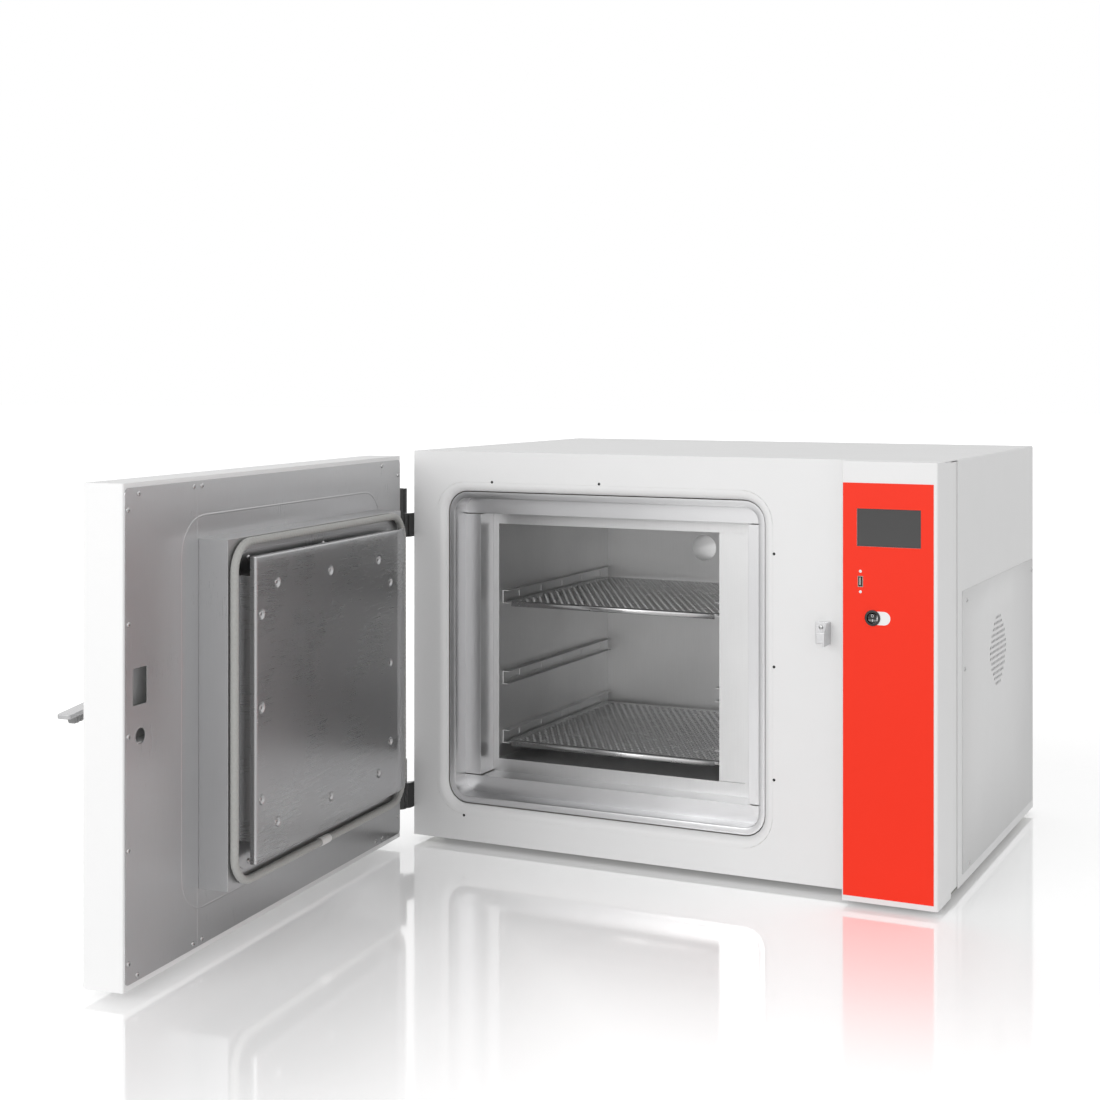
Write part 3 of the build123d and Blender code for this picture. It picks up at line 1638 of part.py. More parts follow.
def door_hinge_half(low, high):
    """Upper knuckle of a lift-off hinge, its leaf on the door's hinge edge."""
    with BuildPart() as half:
        with BuildSketch(door_level(low)):
            with Locations((-hinge_axis_left, -axis_offset)):
                Circle(barrel_radius)
            with BuildLine():
                Polyline(
                    (-hinge_axis_left - hinge_arm / 2, -axis_offset),
                    (-hinge_axis_left + hinge_arm, -axis_offset + hinge_arm / 2),
                    (0, -axis_offset - hinge_arm / 2),
                    (0, -axis_offset - leaf_length),
                    (-leaf_sheet, -axis_offset - leaf_length),
                    (-leaf_sheet, -axis_offset - hinge_arm * 1.8),
                    (-hinge_axis_left - hinge_arm / 2, -axis_offset),
                )
            make_face()
            with Locations((-hinge_axis_left, -axis_offset)):
                Circle(pin_radius + pin_clearance, mode=Mode.SUBTRACT)
        extrude(amount=high - low)
    return half.part


save(
    joined(
        case_hinge_half(upper_hinge_bottom, upper_hinge_split),
        case_hinge_half(lower_hinge_bottom, lower_hinge_split),
    ),
    "case_hinge_halves",
)
save(
    joined(
        door_hinge_half(upper_hinge_split + barrel_gap, upper_hinge_top),
        door_hinge_half(lower_hinge_split + barrel_gap, lower_hinge_top),
    ),
    "door_hinge_halves",
)
with BuildPart() as hinge_pins:
    for low, high in (
        (upper_hinge_bottom, upper_hinge_top),
        (lower_hinge_bottom, lower_hinge_top),
    ):
        with BuildSketch(facing_up(low + 2)):
            with Locations((-hinge_axis_left, -hinge_axis_forward)):
                Circle(pin_radius)
        extrude(amount=high - low - 4)
save(hinge_pins.part, "hinge_pins")
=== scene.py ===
"""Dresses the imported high-temperature oven for its picture.

Sizes are in millimetres along the axes of the case and of the open door. Frame.place turns
them into metres in the row frame, where every finished piece has its place in its mesh.
"""

from __future__ import annotations

import json
import logging
import math
from dataclasses import dataclass, field
from enum import Enum

import bmesh
import bpy
import numpy as np
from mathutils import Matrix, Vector

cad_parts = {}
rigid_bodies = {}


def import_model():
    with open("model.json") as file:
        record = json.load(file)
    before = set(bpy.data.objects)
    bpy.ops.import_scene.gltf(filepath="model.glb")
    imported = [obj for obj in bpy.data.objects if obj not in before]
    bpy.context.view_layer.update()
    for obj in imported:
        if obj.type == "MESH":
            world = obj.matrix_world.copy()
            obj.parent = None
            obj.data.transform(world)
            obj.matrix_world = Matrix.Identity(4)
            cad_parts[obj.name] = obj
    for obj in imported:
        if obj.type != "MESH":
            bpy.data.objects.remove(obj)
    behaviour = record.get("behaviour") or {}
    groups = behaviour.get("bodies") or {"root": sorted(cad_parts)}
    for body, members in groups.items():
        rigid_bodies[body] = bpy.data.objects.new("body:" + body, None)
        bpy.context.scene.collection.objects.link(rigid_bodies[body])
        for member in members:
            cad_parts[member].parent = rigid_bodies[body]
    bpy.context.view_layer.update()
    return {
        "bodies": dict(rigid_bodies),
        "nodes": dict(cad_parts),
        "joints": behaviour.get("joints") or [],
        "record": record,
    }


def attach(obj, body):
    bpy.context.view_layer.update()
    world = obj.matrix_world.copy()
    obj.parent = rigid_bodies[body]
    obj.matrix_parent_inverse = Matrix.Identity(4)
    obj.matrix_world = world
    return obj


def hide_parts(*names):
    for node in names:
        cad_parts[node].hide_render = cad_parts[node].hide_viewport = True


LOG = logging.getLogger("oven")
WELD = 1e-5
FLAT_DEGREES = 0.8
SHARP_DEGREES = 40.0
# Edges flatter than these are shaded smooth: on folds, on rolls and on round sections.
FOLDED, ROLLED, ROUND = 30.0, 50.0, 60.0
CASE_LEFT, CASE_RIGHT, CASE_FRONT, CASE_FOOT = -45.0, 851.0, -60.0, 10.0
# The hinge's axis, its way to the door's edge and face, and how far the door stands open.
PIVOT = (-59.3, -79.6)
PIVOT_TO_EDGE, PIVOT_TO_FACE = 14.3, 7.6
OPEN_ANGLE = math.radians(83.8)


@dataclass(frozen=True)
class Frame:
    """Axes on the oven: a corner and two level directions, the third axis being upright."""

    corner: tuple[float, float, float]
    across: tuple[float, float, float]
    out: tuple[float, float, float]

    def place(self, across: np.ndarray, up: np.ndarray, out: np.ndarray) -> np.ndarray:
        """Points in the row frame.

        Args:
            across: distances along the level axis, in mm.
            up: heights above the case's underside, in mm.
            out: distances out of the face, in mm.

        Returns:
            An array one dimension deeper, in metres: corner + across + out + up.
        """
        a, u, o = np.broadcast_arrays(np.asarray(across, float), up, out)
        points = (
            np.asarray(self.corner)
            + a[..., None] * np.asarray(self.across)
            + o[..., None] * np.asarray(self.out)
        )
        points[..., 2] += u
        return points / 1000


FRONT = Frame((CASE_LEFT, CASE_FRONT, CASE_FOOT), (1.0, 0.0, 0.0), (0.0, -1.0, 0.0))
SIDE = Frame((CASE_RIGHT, CASE_FRONT, CASE_FOOT), (0.0, 1.0, 0.0), (1.0, 0.0, 0.0))
UNDER = Frame((CASE_LEFT, CASE_FRONT, CASE_FOOT), (1.0, 0.0, 0.0), (0.0, 1.0, 0.0))
DOOR = Frame(
    (
        PIVOT[0] + PIVOT_TO_EDGE * math.cos(OPEN_ANGLE) + PIVOT_TO_FACE * math.sin(OPEN_ANGLE),
        PIVOT[1] - PIVOT_TO_EDGE * math.sin(OPEN_ANGLE) + PIVOT_TO_FACE * math.cos(OPEN_ANGLE),
        CASE_FOOT,
    ),
    (math.cos(OPEN_ANGLE), -math.sin(OPEN_ANGLE), 0.0),
    (-math.sin(OPEN_ANGLE), -math.cos(OPEN_ANGLE), 0.0),
)


class Grain(Enum):
    """Which way the brushing of a steel sheet runs, as scales along x, y and z."""

    LEVEL = (0.02, 0.02, 1.0)
    UPRIGHT = (1.0, 1.0, 0.02)
    NONE = (1.0, 1.0, 1.0)


def linear(code: str) -> tuple[float, float, float, float]:
    """Linear colour of an sRGB hex code.

    Args:
        code: six hex digits.

    Returns:
        Red, green and blue by the sRGB curve, and an alpha of 1.
    """
    parts = [int(code[i : i + 2], 16) / 255 for i in (0, 2, 4)]
    curve = [p / 12.92 if p <= 0.04045 else ((p + 0.055) / 1.055) ** 2.4 for p in parts]
    return (*curve, 1.0)


def add(tree: bpy.types.NodeTree, kind: str, settings: dict) -> bpy.types.Node:
    """One shader node with its settings and links.

    Args:
        tree: the node tree it goes into.
        kind: the node's type name without its ShaderNode.
        settings: values by attribute, input name or input number. An output is linked.

    Returns:
        The new node.
    """
    node = tree.nodes.new(f"ShaderNode{kind}")
    for key, value in settings.items():
        if isinstance(value, bpy.types.NodeSocket):
            tree.links.new(value, node.inputs[key])
        elif isinstance(key, str) and hasattr(node, key):
            setattr(node, key, value)
        else:
            node.inputs[key].default_value = value
    return node


def emptied(block: bpy.types.Material | bpy.types.World) -> bpy.types.NodeTree:
    """The node tree of a material or a world, switched on and cleared."""
    block.use_nodes = True
    block.node_tree.nodes.clear()
    return block.node_tree


def placed(name: str, data: bpy.types.ID) -> bpy.types.Object:
    """A new object in the scene, at the origin."""
    item = bpy.data.objects.new(name, data)
    bpy.context.scene.collection.objects.link(item)
    return item


@dataclass(frozen=True)
class Finish:
    """A surface: two close colours, gloss with its unevenness, and a fine relief.

    Fields named _mm are real sizes of the pattern on the surface.
    """

    name: str
    colour: str
    second: str
    roughness: tuple[float, float]
    metallic: float = 0.0
    grain: Grain = Grain.NONE
    grain_mm: float = 0.8
    blotch_mm: float = 60.0
    relief: float = 0.02
    relief_mm: float = 0.05
    wave: float = 0.0
    wave_mm: float = 90.0
    anisotropy: float = 0.0
    coat: float = 0.0
    sheen: float = 0.0
    ior: float = 1.5

    def material(self) -> bpy.types.Material:
        """The finish as a node material on Object coordinates, made once and then shared."""
        if self.name in bpy.data.materials:
            return bpy.data.materials[self.name]
        material = bpy.data.materials.new(self.name)
        tree = emptied(material)
        where = add(tree, "TexCoord", {}).outputs["Object"]
        scale = [s * 1000 / self.grain_mm for s in self.grain.value]
        stretch = add(tree, "Mapping", {"Vector": where, "Scale": scale}).outputs["Vector"]
        grain = {"Vector": stretch, "Scale": 1.0, "Detail": 3.0, "Roughness": 0.6}
        fine = add(tree, "TexNoise", grain).outputs["Fac"]
        blotch = {"Vector": where, "Scale": 1000 / self.blotch_mm, "Detail": 2.0}
        broad = add(tree, "TexNoise", blotch).outputs["Fac"]
        shares = {"data_type": "FLOAT", "Factor": 0.45, "A": fine, "B": broad}
        both = add(tree, "Mix", shares).outputs[0]
        colours = {"data_type": "RGBA", 6: linear(self.colour), 7: linear(self.second)}
        tone = add(tree, "Mix", colours | {"Factor": both}).outputs[2]
        low, high = self.roughness
        spread = {"Value": both, "From Min": 0.3, "From Max": 0.7, "To Min": low, "To Max": high}
        gloss = add(tree, "MapRange", spread).outputs["Result"]
        pebble = {"Height": fine, "Strength": self.relief, "Distance": self.relief_mm / 1000}
        normal = add(tree, "Bump", pebble).outputs["Normal"]
        if self.wave:
            swell = {"Vector": where, "Scale": 1000 / self.wave_mm, "Detail": 1.0}
            height = add(tree, "TexNoise", swell).outputs["Fac"]
            sway = {"Strength": self.wave, "Distance": self.wave_mm / 10000}
            normal = add(tree, "Bump", sway | {"Height": height, "Normal": normal}).outputs["Normal"]
        shader = add(tree, "BsdfPrincipled", {
            "Base Color": tone,
            "Roughness": gloss,
            "Normal": normal,
            "Metallic": self.metallic,
            "IOR": self.ior,
            "Anisotropic": self.anisotropy,
            "Coat Weight": self.coat,
            "Coat Roughness": 0.08,
            "Sheen Weight": self.sheen,
            "Sheen Roughness": 0.5,
        })
        add(tree, "OutputMaterial", {"Surface": shader.outputs["BSDF"]})
        return material


# Powder coat over steel: an even off-white with a very fine pebble that softens highlights.
CASE_PAINT = Finish("powder_coat_white", "F1F1F1", "EDEDED", (0.42, 0.5), grain_mm=1.1, relief=0.06)
# The same powder coat a shade darker for the case's sides, back and cover: painted shade, for the sides
# turned away from the front light.
SHADED_CASE_PAINT = Finish("powder_coat_painted_shade", "ECECEC", "E8E8E8", (0.42, 0.5), grain_mm=1.1, relief=0.06)
# Printed and laminated film: a saturated orange-red with a soft satin gloss.
LABEL_FILM = Finish("printed_film_red", "FF361D", "FC341B", (0.3, 0.36), grain_mm=2.0, relief=0.01, ior=1.3)
WHITE_FILM = Finish("printed_film_white", "F6F6F6", "F2F2F2", (0.3, 0.36), grain_mm=2.0, relief=0.01)
# Cold-rolled stainless sheet, brushed along its length: long hairlines and streaky gloss.
STEEL_DOOR = Finish(
    "brushed_stainless_door", "C6C6C7", "BCBCBD", (0.26, 0.36), 1.0, Grain.UPRIGHT, 0.7, 120,
    relief=0.05, anisotropy=0.4, wave=0.02, wave_mm=160,
)
STEEL_TRAY = Finish(
    "brushed_stainless_tray", "BABABB", "AEAEAF", (0.24, 0.34), 1.0, Grain.LEVEL, 0.7, 90,
    relief=0.05, anisotropy=0.4, wave=0.02, wave_mm=140,
)
STEEL_FRAME = Finish(
    "brushed_stainless_frame", "DADADB", "D0D0D1", (0.28, 0.38), 1.0, Grain.LEVEL, 0.7, 80,
    relief=0.04, anisotropy=0.3,
)
STEEL_UPRIGHT = Finish(
    "brushed_stainless_upright", "DADADB", "D0D0D1", (0.28, 0.38), 1.0, Grain.UPRIGHT, 0.7, 80,
    relief=0.04, anisotropy=0.3,
)
# Mill-finish stainless of the chamber: bright, cloudy, its thin sheet a little wavy.
STEEL_CHAMBER = Finish(
    "mill_stainless_chamber", "D9D9D9", "CDCDCD", (0.34, 0.44), 1.0, Grain.UPRIGHT, 1.2, 70,
    relief=0.02, wave=0.04, wave_mm=150,
)
STEEL_SHELF = Finish(
    "electropolished_shelf", "D0D0D0", "C2C2C2", (0.18, 0.3), 1.0, grain_mm=3.0, blotch_mm=30
)
# Zinc-plated brackets and shafts: pale grey metal with soft clouds.
ZINC = Finish("zinc_plated_steel", "B8B8B2", "A4A49E", (0.3, 0.45), 1.0, grain_mm=4.0, blotch_mm=20)
SCREW = Finish("stainless_screw", "C8C8C8", "B4B4B4", (0.2, 0.34), 1.0, grain_mm=0.5, blotch_mm=6)
# Dark heads at the front's small holes: their dark stands in for the shade inside the holes, painted shade.
HOLE_SHADE_HEAD = Finish("painted_hole_shade", "3A3A3A", "2C2C2C", (0.35, 0.5), 1.0, grain_mm=0.5, blotch_mm=6)
# Black lacquered hinge castings: nearly black with sharp highlights.
HINGE = Finish("black_lacquered_hinge", "111111", "0B0B0B", (0.12, 0.2), grain_mm=2.5, relief=0.02, coat=0.6)
LEVER = Finish("satin_aluminium", "CDCDCE", "C0C0C1", (0.22, 0.32), 1.0, Grain.LEVEL, 0.5, 30, relief=0.08)
# Moulded plastics: fine spark-eroded texture, soft highlights.
BLACK_PLASTIC = Finish("moulded_black_plastic", "232323", "1B1B1B", (0.38, 0.5), grain_mm=0.6, relief=0.1)
GLOSS_BLACK = Finish("gloss_black_switch", "0C0C0C", "080808", (0.1, 0.16), grain_mm=1.0, coat=0.5)
GREY_GRIP = Finish("moulded_grey_grip", "8C8C8C", "7C7C7C", (0.35, 0.48), grain_mm=0.6, relief=0.1)
BOARD = Finish("green_circuit_board", "1D5A36", "184C2E", (0.25, 0.4), grain_mm=2.0, blotch_mm=8)
RUBBER = Finish("moulded_black_rubber", "1E1E1E", "161616", (0.7, 0.85), grain_mm=0.9, relief=0.25)
# Display glass over a switched-off panel: neutral dark grey under a clear gloss.
SCREEN = Finish("display_glass_dark", "464646", "434343", (0.12, 0.16), grain_mm=5.0, relief=0.0, coat=0.3)
# Glass-fibre rope: pale grey yarn, each strand slightly fuzzy.
ROPE = Finish(
    "braided_glass_fibre", "BEBEBB", "A6A6A3", (0.7, 0.85), grain_mm=0.5, blotch_mm=5,
    relief=0.5, sheen=0.15,
)
SLEEVE = Finish(
    "woven_white_sleeve", "F0F0EE", "E2E2E0", (0.6, 0.75), grain_mm=0.7, blotch_mm=6,
    relief=0.4, sheen=0.3,
)
# Ceramic fibre slab: chalky off-white felt.
FIBRE = Finish(
    "ceramic_fibre_slab", "E9E4D8", "D9D3C4", (0.85, 0.95), grain_mm=2.0, blotch_mm=25,
    relief=0.6, relief_mm=0.6,
)
ELEMENT = Finish("oxidised_element_sheath", "3E3B38", "2A2826", (0.5, 0.7), 0.6, grain_mm=1.5, blotch_mm=12)
CERAMIC = Finish("glazed_ceramic", "EDEAE0", "E2DED2", (0.15, 0.25), grain_mm=3.0, coat=0.3)
MOTOR = Finish("hammered_motor_paint", "5C5E62", "505256", (0.35, 0.5), grain_mm=1.6, relief=0.3)

# Each finish with the width of its eased edges in mm, and the CAD nodes that have it.
CAD_FINISHES: dict[tuple[Finish, float], tuple[str, ...]] = {
    (SHADED_CASE_PAINT, 0.5): ("outer_case",),
    # The latch case is zinc; it takes the pale case paint so the back of the door's pocket reads bright:
    # painted light.
    (SHADED_CASE_PAINT, 0.0): ("rear_panel", "latch_case"),
    (CASE_PAINT, 0.5): ("control_tower",),
    (CASE_PAINT, 0.4): ("front_fascia", "door_shell"),
    (LABEL_FILM, 0.12): ("label_panel",),
    (SCREEN, 0.0): ("display_window",),
    (BOARD, 0.0): ("control_board",),
    (BLACK_PLASTIC, 0.0): ("display_module", "relay", "terminal_block", "cooling_wheel"),
    (BLACK_PLASTIC, 0.4): ("mains_inlet",),
    (GLOSS_BLACK, 0.0): ("switch_housing",),
    (GLOSS_BLACK, 0.25): ("switch_rocker",),
    (STEEL_FRAME, 0.3): ("throat_frame_rails",),
    (STEEL_UPRIGHT, 0.3): ("throat_frame_uprights",),
    (STEEL_FRAME, 0.6): ("door_keeper",),
    (STEEL_CHAMBER, 0.0): ("chamber_liner", "air_guide_panel", "exhaust_duct", "fan_impeller"),
    (STEEL_CHAMBER, 0.25): ("shelf_runners",),
    (FIBRE, 0.0): ("chamber_insulation", "door_insulation"),
    (ZINC, 0.0): (
        "base_pan", "usb_socket", "bay_wall", "motor_bracket", "component_plate",
        "hinge_pins", "latch_spindle", "fan_shaft",
    ),
    (ZINC, 0.3): ("latch_cam",),
    (MOTOR, 0.0): ("fan_motor",),
    (ELEMENT, 0.0): ("heating_elements",),
    (CERAMIC, 0.0): ("element_terminals",),
    (SCREW, 0.0): ("temperature_probes",),
    (HINGE, 0.5): ("case_hinge_halves", "door_hinge_halves"),
    (STEEL_DOOR, 0.2): ("door_liner", "plug_face"),
    (STEEL_DOOR, 0.4): ("plug_box",),
    (STEEL_TRAY, 0.2): ("tray_standoffs",),
    (LEVER, 0.8): ("latch_lever",),
    (GREY_GRIP, 0.4): ("lever_grip",),
}


@dataclass
class Shop:
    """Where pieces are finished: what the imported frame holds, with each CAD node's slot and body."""

    frame: dict
    slots: dict[str, str] = field(default_factory=dict)
    bodies: dict[str, str] = field(default_factory=dict)

    def __post_init__(self) -> None:
        """Reads each CAD node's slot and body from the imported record."""
        record = self.frame["record"]
        self.slots = {part["node"]: part["material_slot"] for part in record["subparts"]}
        for body, nodes in record["behaviour"]["bodies"].items():
            self.bodies.update({node: body for node in nodes})

    def finish(
        self, name: str, points: np.ndarray, faces: np.ndarray | list, *look: object
    ) -> bpy.types.Object:
        """A new piece in the scene from its points and faces.

        Args:
            name: the piece's name.
            points: vertices in metres, in any grid shape.
            faces: vertex numbers of each face.
            look: what dress takes after the mesh, from the surface on.

        Returns:
            The piece, at the origin, riding on its body.
        """
        mesh = bpy.data.meshes.new(name)
        corners = [list(map(int, face)) for face in faces]
        mesh.from_pydata(np.asarray(points).reshape(-1, 3).tolist(), [], corners)
        work = bmesh.new()
        work.from_mesh(mesh)
        bmesh.ops.remove_doubles(work, verts=work.verts, dist=WELD)
        bmesh.ops.recalc_face_normals(work, faces=work.faces)
        work.to_mesh(mesh)
        work.free()
        return self.dress(name, mesh, *look)

    def dress(
        self,
        name: str,
        mesh: bpy.types.Mesh,
        finish: Finish,
        like: str,
        replaced: tuple[str, ...] = (),
        smooth: float = 35.0,
        sheet: float = 0.0,
    ) -> bpy.types.Object:
        """A mesh as a finished piece: shading, material, body and what it replaces.

        Args:
            name: the piece's name.
            mesh: its mesh, in place.
            finish: its surface.
            like: the CAD node whose body it shares.
            replaced: CAD nodes that it stands for.
            smooth: edges flatter than this many degrees are shaded smooth.
            sheet: wall thickness in mm, given by Solidify where it isn't zero.

        Returns:
            The piece's object.
        """
        mesh.shade_smooth()
        mesh.set_sharp_from_angle(angle=math.radians(smooth))
        mesh.materials.clear()
        mesh.materials.append(finish.material())
        piece = placed(name, mesh)
        if sheet:
            wall = piece.modifiers.new("wall", "SOLIDIFY")
            wall.thickness = sheet / 1000
            wall.offset = 0.0
        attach(piece, self.bodies[like])
        if replaced:
            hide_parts(*replaced)
        LOG.info("%s: %d faces", name, len(mesh.polygons))
        return piece

    def softened(self, node: str, finish: Finish, width: float) -> bpy.types.Object:
        """A CAD node's own shape with its doubles merged and its sharp edges eased.

        Args:
            node: the CAD node.
            finish: its surface.
            width: the bevel's width in mm, or zero for none.

        Returns:
            The piece that stands for the node.
        """
        mesh = self.frame["nodes"][node].data.copy()
        work = bmesh.new()
        work.from_mesh(mesh)
        bmesh.ops.remove_doubles(work, verts=work.verts, dist=WELD)
        flat = math.radians(FLAT_DEGREES)
        bmesh.ops.dissolve_limit(work, angle_limit=flat, verts=work.verts, edges=work.edges)
        work.to_mesh(mesh)
        work.free()
        for spare in ("custom_normal", "sharp_edge", "sharp_face"):
            if spare in mesh.attributes:
                mesh.attributes.remove(mesh.attributes[spare])
        piece = self.dress(f"{node}_eased", mesh, finish, node, (node,), SHARP_DEGREES)
        if width:
            bevel = piece.modifiers.new("eased_edges", "BEVEL")
            bevel.width = width / 1000
            bevel.segments = 2
            bevel.limit_method = "ANGLE"
            bevel.angle_limit = math.radians(SHARP_DEGREES)
            bevel.harden_normals = True
        return piece


def circle(steps: int) -> np.ndarray:
    """Angles of even steps once round."""
    return np.linspace(0, 2 * math.pi, steps, endpoint=False)


def quads(
    rows: int, columns: int, closed_rows: bool = False, closed_columns: bool = False
) -> np.ndarray:
    """Faces over a grid of vertices numbered row by row.

    Args:
        rows: how many rows of vertices.
        columns: how many vertices in a row.
        closed_rows: whether the last row joins the first.
        closed_columns: whether a row's last vertex joins its first.

    Returns:
        One row of four vertex numbers for each face.
    """
    index = np.arange(rows * columns).reshape(rows, columns)
    right = np.roll(index, -1, axis=1)
    if not closed_columns:
        index, right = index[:, :-1], right[:, :-1]
    below, below_right = np.roll(index, -1, axis=0), np.roll(right, -1, axis=0)
    if not closed_rows:
        index, right, below, below_right = (a[:-1] for a in (index, right, below, below_right))
    return np.stack([index, right, below_right, below], axis=-1).reshape(-1, 4)


def rounded_loop(half_width: float, half_height: float, radius: float, step: float) -> tuple:
    """A rounded rectangle as corner centres and outward directions.

    A point of the outline is its centre plus radius times its direction, so other offsets
    from the outline are had by adding to the radius.

    Args:
        half_width: half of the outline's width.
        half_height: half of its height.
        radius: its corner radius.
        step: the longest distance wanted between neighbouring points.

    Returns:
        Arrays of centres and directions, two columns each, and the length run at each point.
    """
    centres, directions = [], []
    wide, high = half_width - radius, half_height - radius
    spots = np.array([(wide, high), (-wide, high), (-wide, -high), (wide, -high)])
    turn_steps = max(6, int(math.ceil(radius * math.pi / 2 / step)))
    for corner in range(4):
        angle = math.pi / 2 * (corner + np.linspace(0, 1, turn_steps + 1))
        centres.append(np.repeat(spots[corner][None], turn_steps + 1, axis=0))
        directions.append(np.stack([np.cos(angle), np.sin(angle)], axis=1))
        start, end = spots[corner], spots[(corner + 1) % 4]
        run_steps = max(1, int(math.ceil(np.linalg.norm(end - start) / step)))
        share = np.arange(1, run_steps)[:, None] / run_steps
        centres.append(start + (end - start) * share)
        directions.append(np.repeat(directions[-1][-1:], run_steps - 1, axis=0))
    centre, direction = np.concatenate(centres), np.concatenate(directions)
    outline = centre + radius * direction
    gaps = np.linalg.norm(np.roll(outline, -1, axis=0) - outline, axis=1)
    return centre, direction, np.concatenate([[0.0], np.cumsum(gaps)])


def carried(
    frame: Frame,
    middle: tuple[float, float],
    loop: tuple,
    corner: float,
    beyond: np.ndarray,
    out: np.ndarray,
) -> tuple[np.ndarray, np.ndarray]:
    """A closed section carried round a rounded rectangle on a face.

    Args:
        frame: the face's axes.
        middle: the rectangle's middle, across and up.
        loop: what rounded_loop gives for the rectangle.
        corner: its corner radius.
        beyond: how far the section's points lie beyond the outline.
        out: how far they lie out of the face.

    Returns:
        Points, corner centre + (corner radius + beyond) times direction, and faces.
    """
    centre, direction, _ = loop
    spread = corner + beyond
    points = frame.place(
        middle[0] + centre[:, :1] + direction[:, :1] * spread,
        middle[1] + centre[:, 1:] + direction[:, 1:] * spread,
        out,
    )
    return points, quads(*points.shape[:2], closed_rows=True, closed_columns=True)


def turned(profile: np.ndarray, steps: int) -> tuple[np.ndarray, np.ndarray, np.ndarray]:
    """A profile turned about an axis.

    Args:
        profile: rows of radius and distance along the axis.
        steps: points round the axis.

    Returns:
        Radius cos and radius sin, in rows round the axis, and the distance along it.
    """
    angle = circle(steps)[:, None]
    return profile[:, 0] * np.cos(angle), profile[:, 0] * np.sin(angle), profile[:, 1]


@dataclass
class PunchedSheet:
    """A flat sheet with rows of holes, every other row set over by half a pitch."""

    pitch: float
    row_pitch: float
    hole_width: float
    hole_height: float
    columns: int
    rows: int
    staggered: bool = True
    power: float = 0.6

    def cells(self, keep: np.ndarray) -> tuple[np.ndarray, list]:
        """The punched field as points and faces about its own centre.

        Each cell has eight points on its outline and eight on the hole, a superellipse. Cells
        that keep leaves out are plain. Odd rows hold one cell less and a half cell each end.

        Args:
            keep: for each row and column, whether the cell is punched.

        Returns:
            Points across and up in mm, and faces of four or more vertex numbers.
        """
        angle = np.arange(8) * math.pi / 4
        edge = np.array([(1, 0), (1, 1), (0, 1), (-1, 1), (-1, 0), (-1, -1), (0, -1), (1, -1)]) / 2
        turn = np.stack([np.cos(angle), np.sin(angle)], axis=1)
        hole = np.sign(turn) * np.abs(turn) ** self.power * (self.hole_width, self.hole_height) / 2
        cell = np.concatenate([edge * (self.pitch, self.row_pitch), hole])
        start, end = np.arange(8), np.roll(np.arange(8), -1)
        loop = np.stack([start, end, end + 8, start + 8], axis=1)
        points, faces, count = [], [], 0
        for row in range(self.rows):
            shifted = self.staggered and row % 2 == 1
            number = self.columns - (1 if shifted else 0)
            up = (row - (self.rows - 1) / 2) * self.row_pitch
            for column in range(number):
                across = (column - (number - 1) / 2) * self.pitch
                points.append(cell + (across, up))
                if keep[row, column]:
                    faces += (loop + count).tolist()
                else:
                    faces.append([count + i for i in range(8)])
                count += 16
            for side in (-1, 1) if shifted else ():
                far = side * self.columns * self.pitch / 2
                near = far - side * self.pitch / 2
                low, high = up - self.row_pitch / 2, up + self.row_pitch / 2
                half = [(near, low), (far, low), (far, up), (far, high), (near, high), (near, up)]
                points.append(np.array(half))
                faces.append([count + i for i in range(6)])
                count += 6
        return np.concatenate(points), faces

    def border(self, left: float, right: float, low: float, high: float) -> tuple[np.ndarray, list]:
        """The plain edge round the field, cut where the field's cells have their points.

        Args:
            left, right, low, high: the sheet's edges from the field's centre, in mm.

        Returns:
            Points and faces, as cells gives them.
        """
        wide, tall = self.columns * self.pitch / 2, self.rows * self.row_pitch / 2
        inner_x = np.linspace(-wide, wide, 2 * self.columns + 1)
        inner_y = np.linspace(-tall, tall, 2 * self.rows + 1)
        points, faces, count = [], [], 0
        level = np.concatenate([[left], inner_x, [right]])
        strips = (
            (level, np.array([low, -tall])),
            (level, np.array([tall, high])),
            (np.array([left, -wide]), inner_y),
            (np.array([wide, right]), inner_y),
        )
        for xs, ys in strips:
            x, y = np.meshgrid(xs, ys, indexing="ij")
            points.append(np.stack([x, y], axis=-1).reshape(-1, 2))
            faces += (quads(len(xs), len(ys)) + count).tolist()
            count += x.size
        return np.concatenate(points), faces

    def field(self, edges: tuple[float, float, float, float], keep: np.ndarray) -> tuple[np.ndarray, list]:
        """The whole sheet, field and border, as points and faces."""
        inner, inner_faces = self.cells(keep)
        outer, outer_faces = self.border(*edges)
        outer_faces = [[i + len(inner) for i in face] for face in outer_faces]
        return np.concatenate([inner, outer]), list(inner_faces) + outer_faces


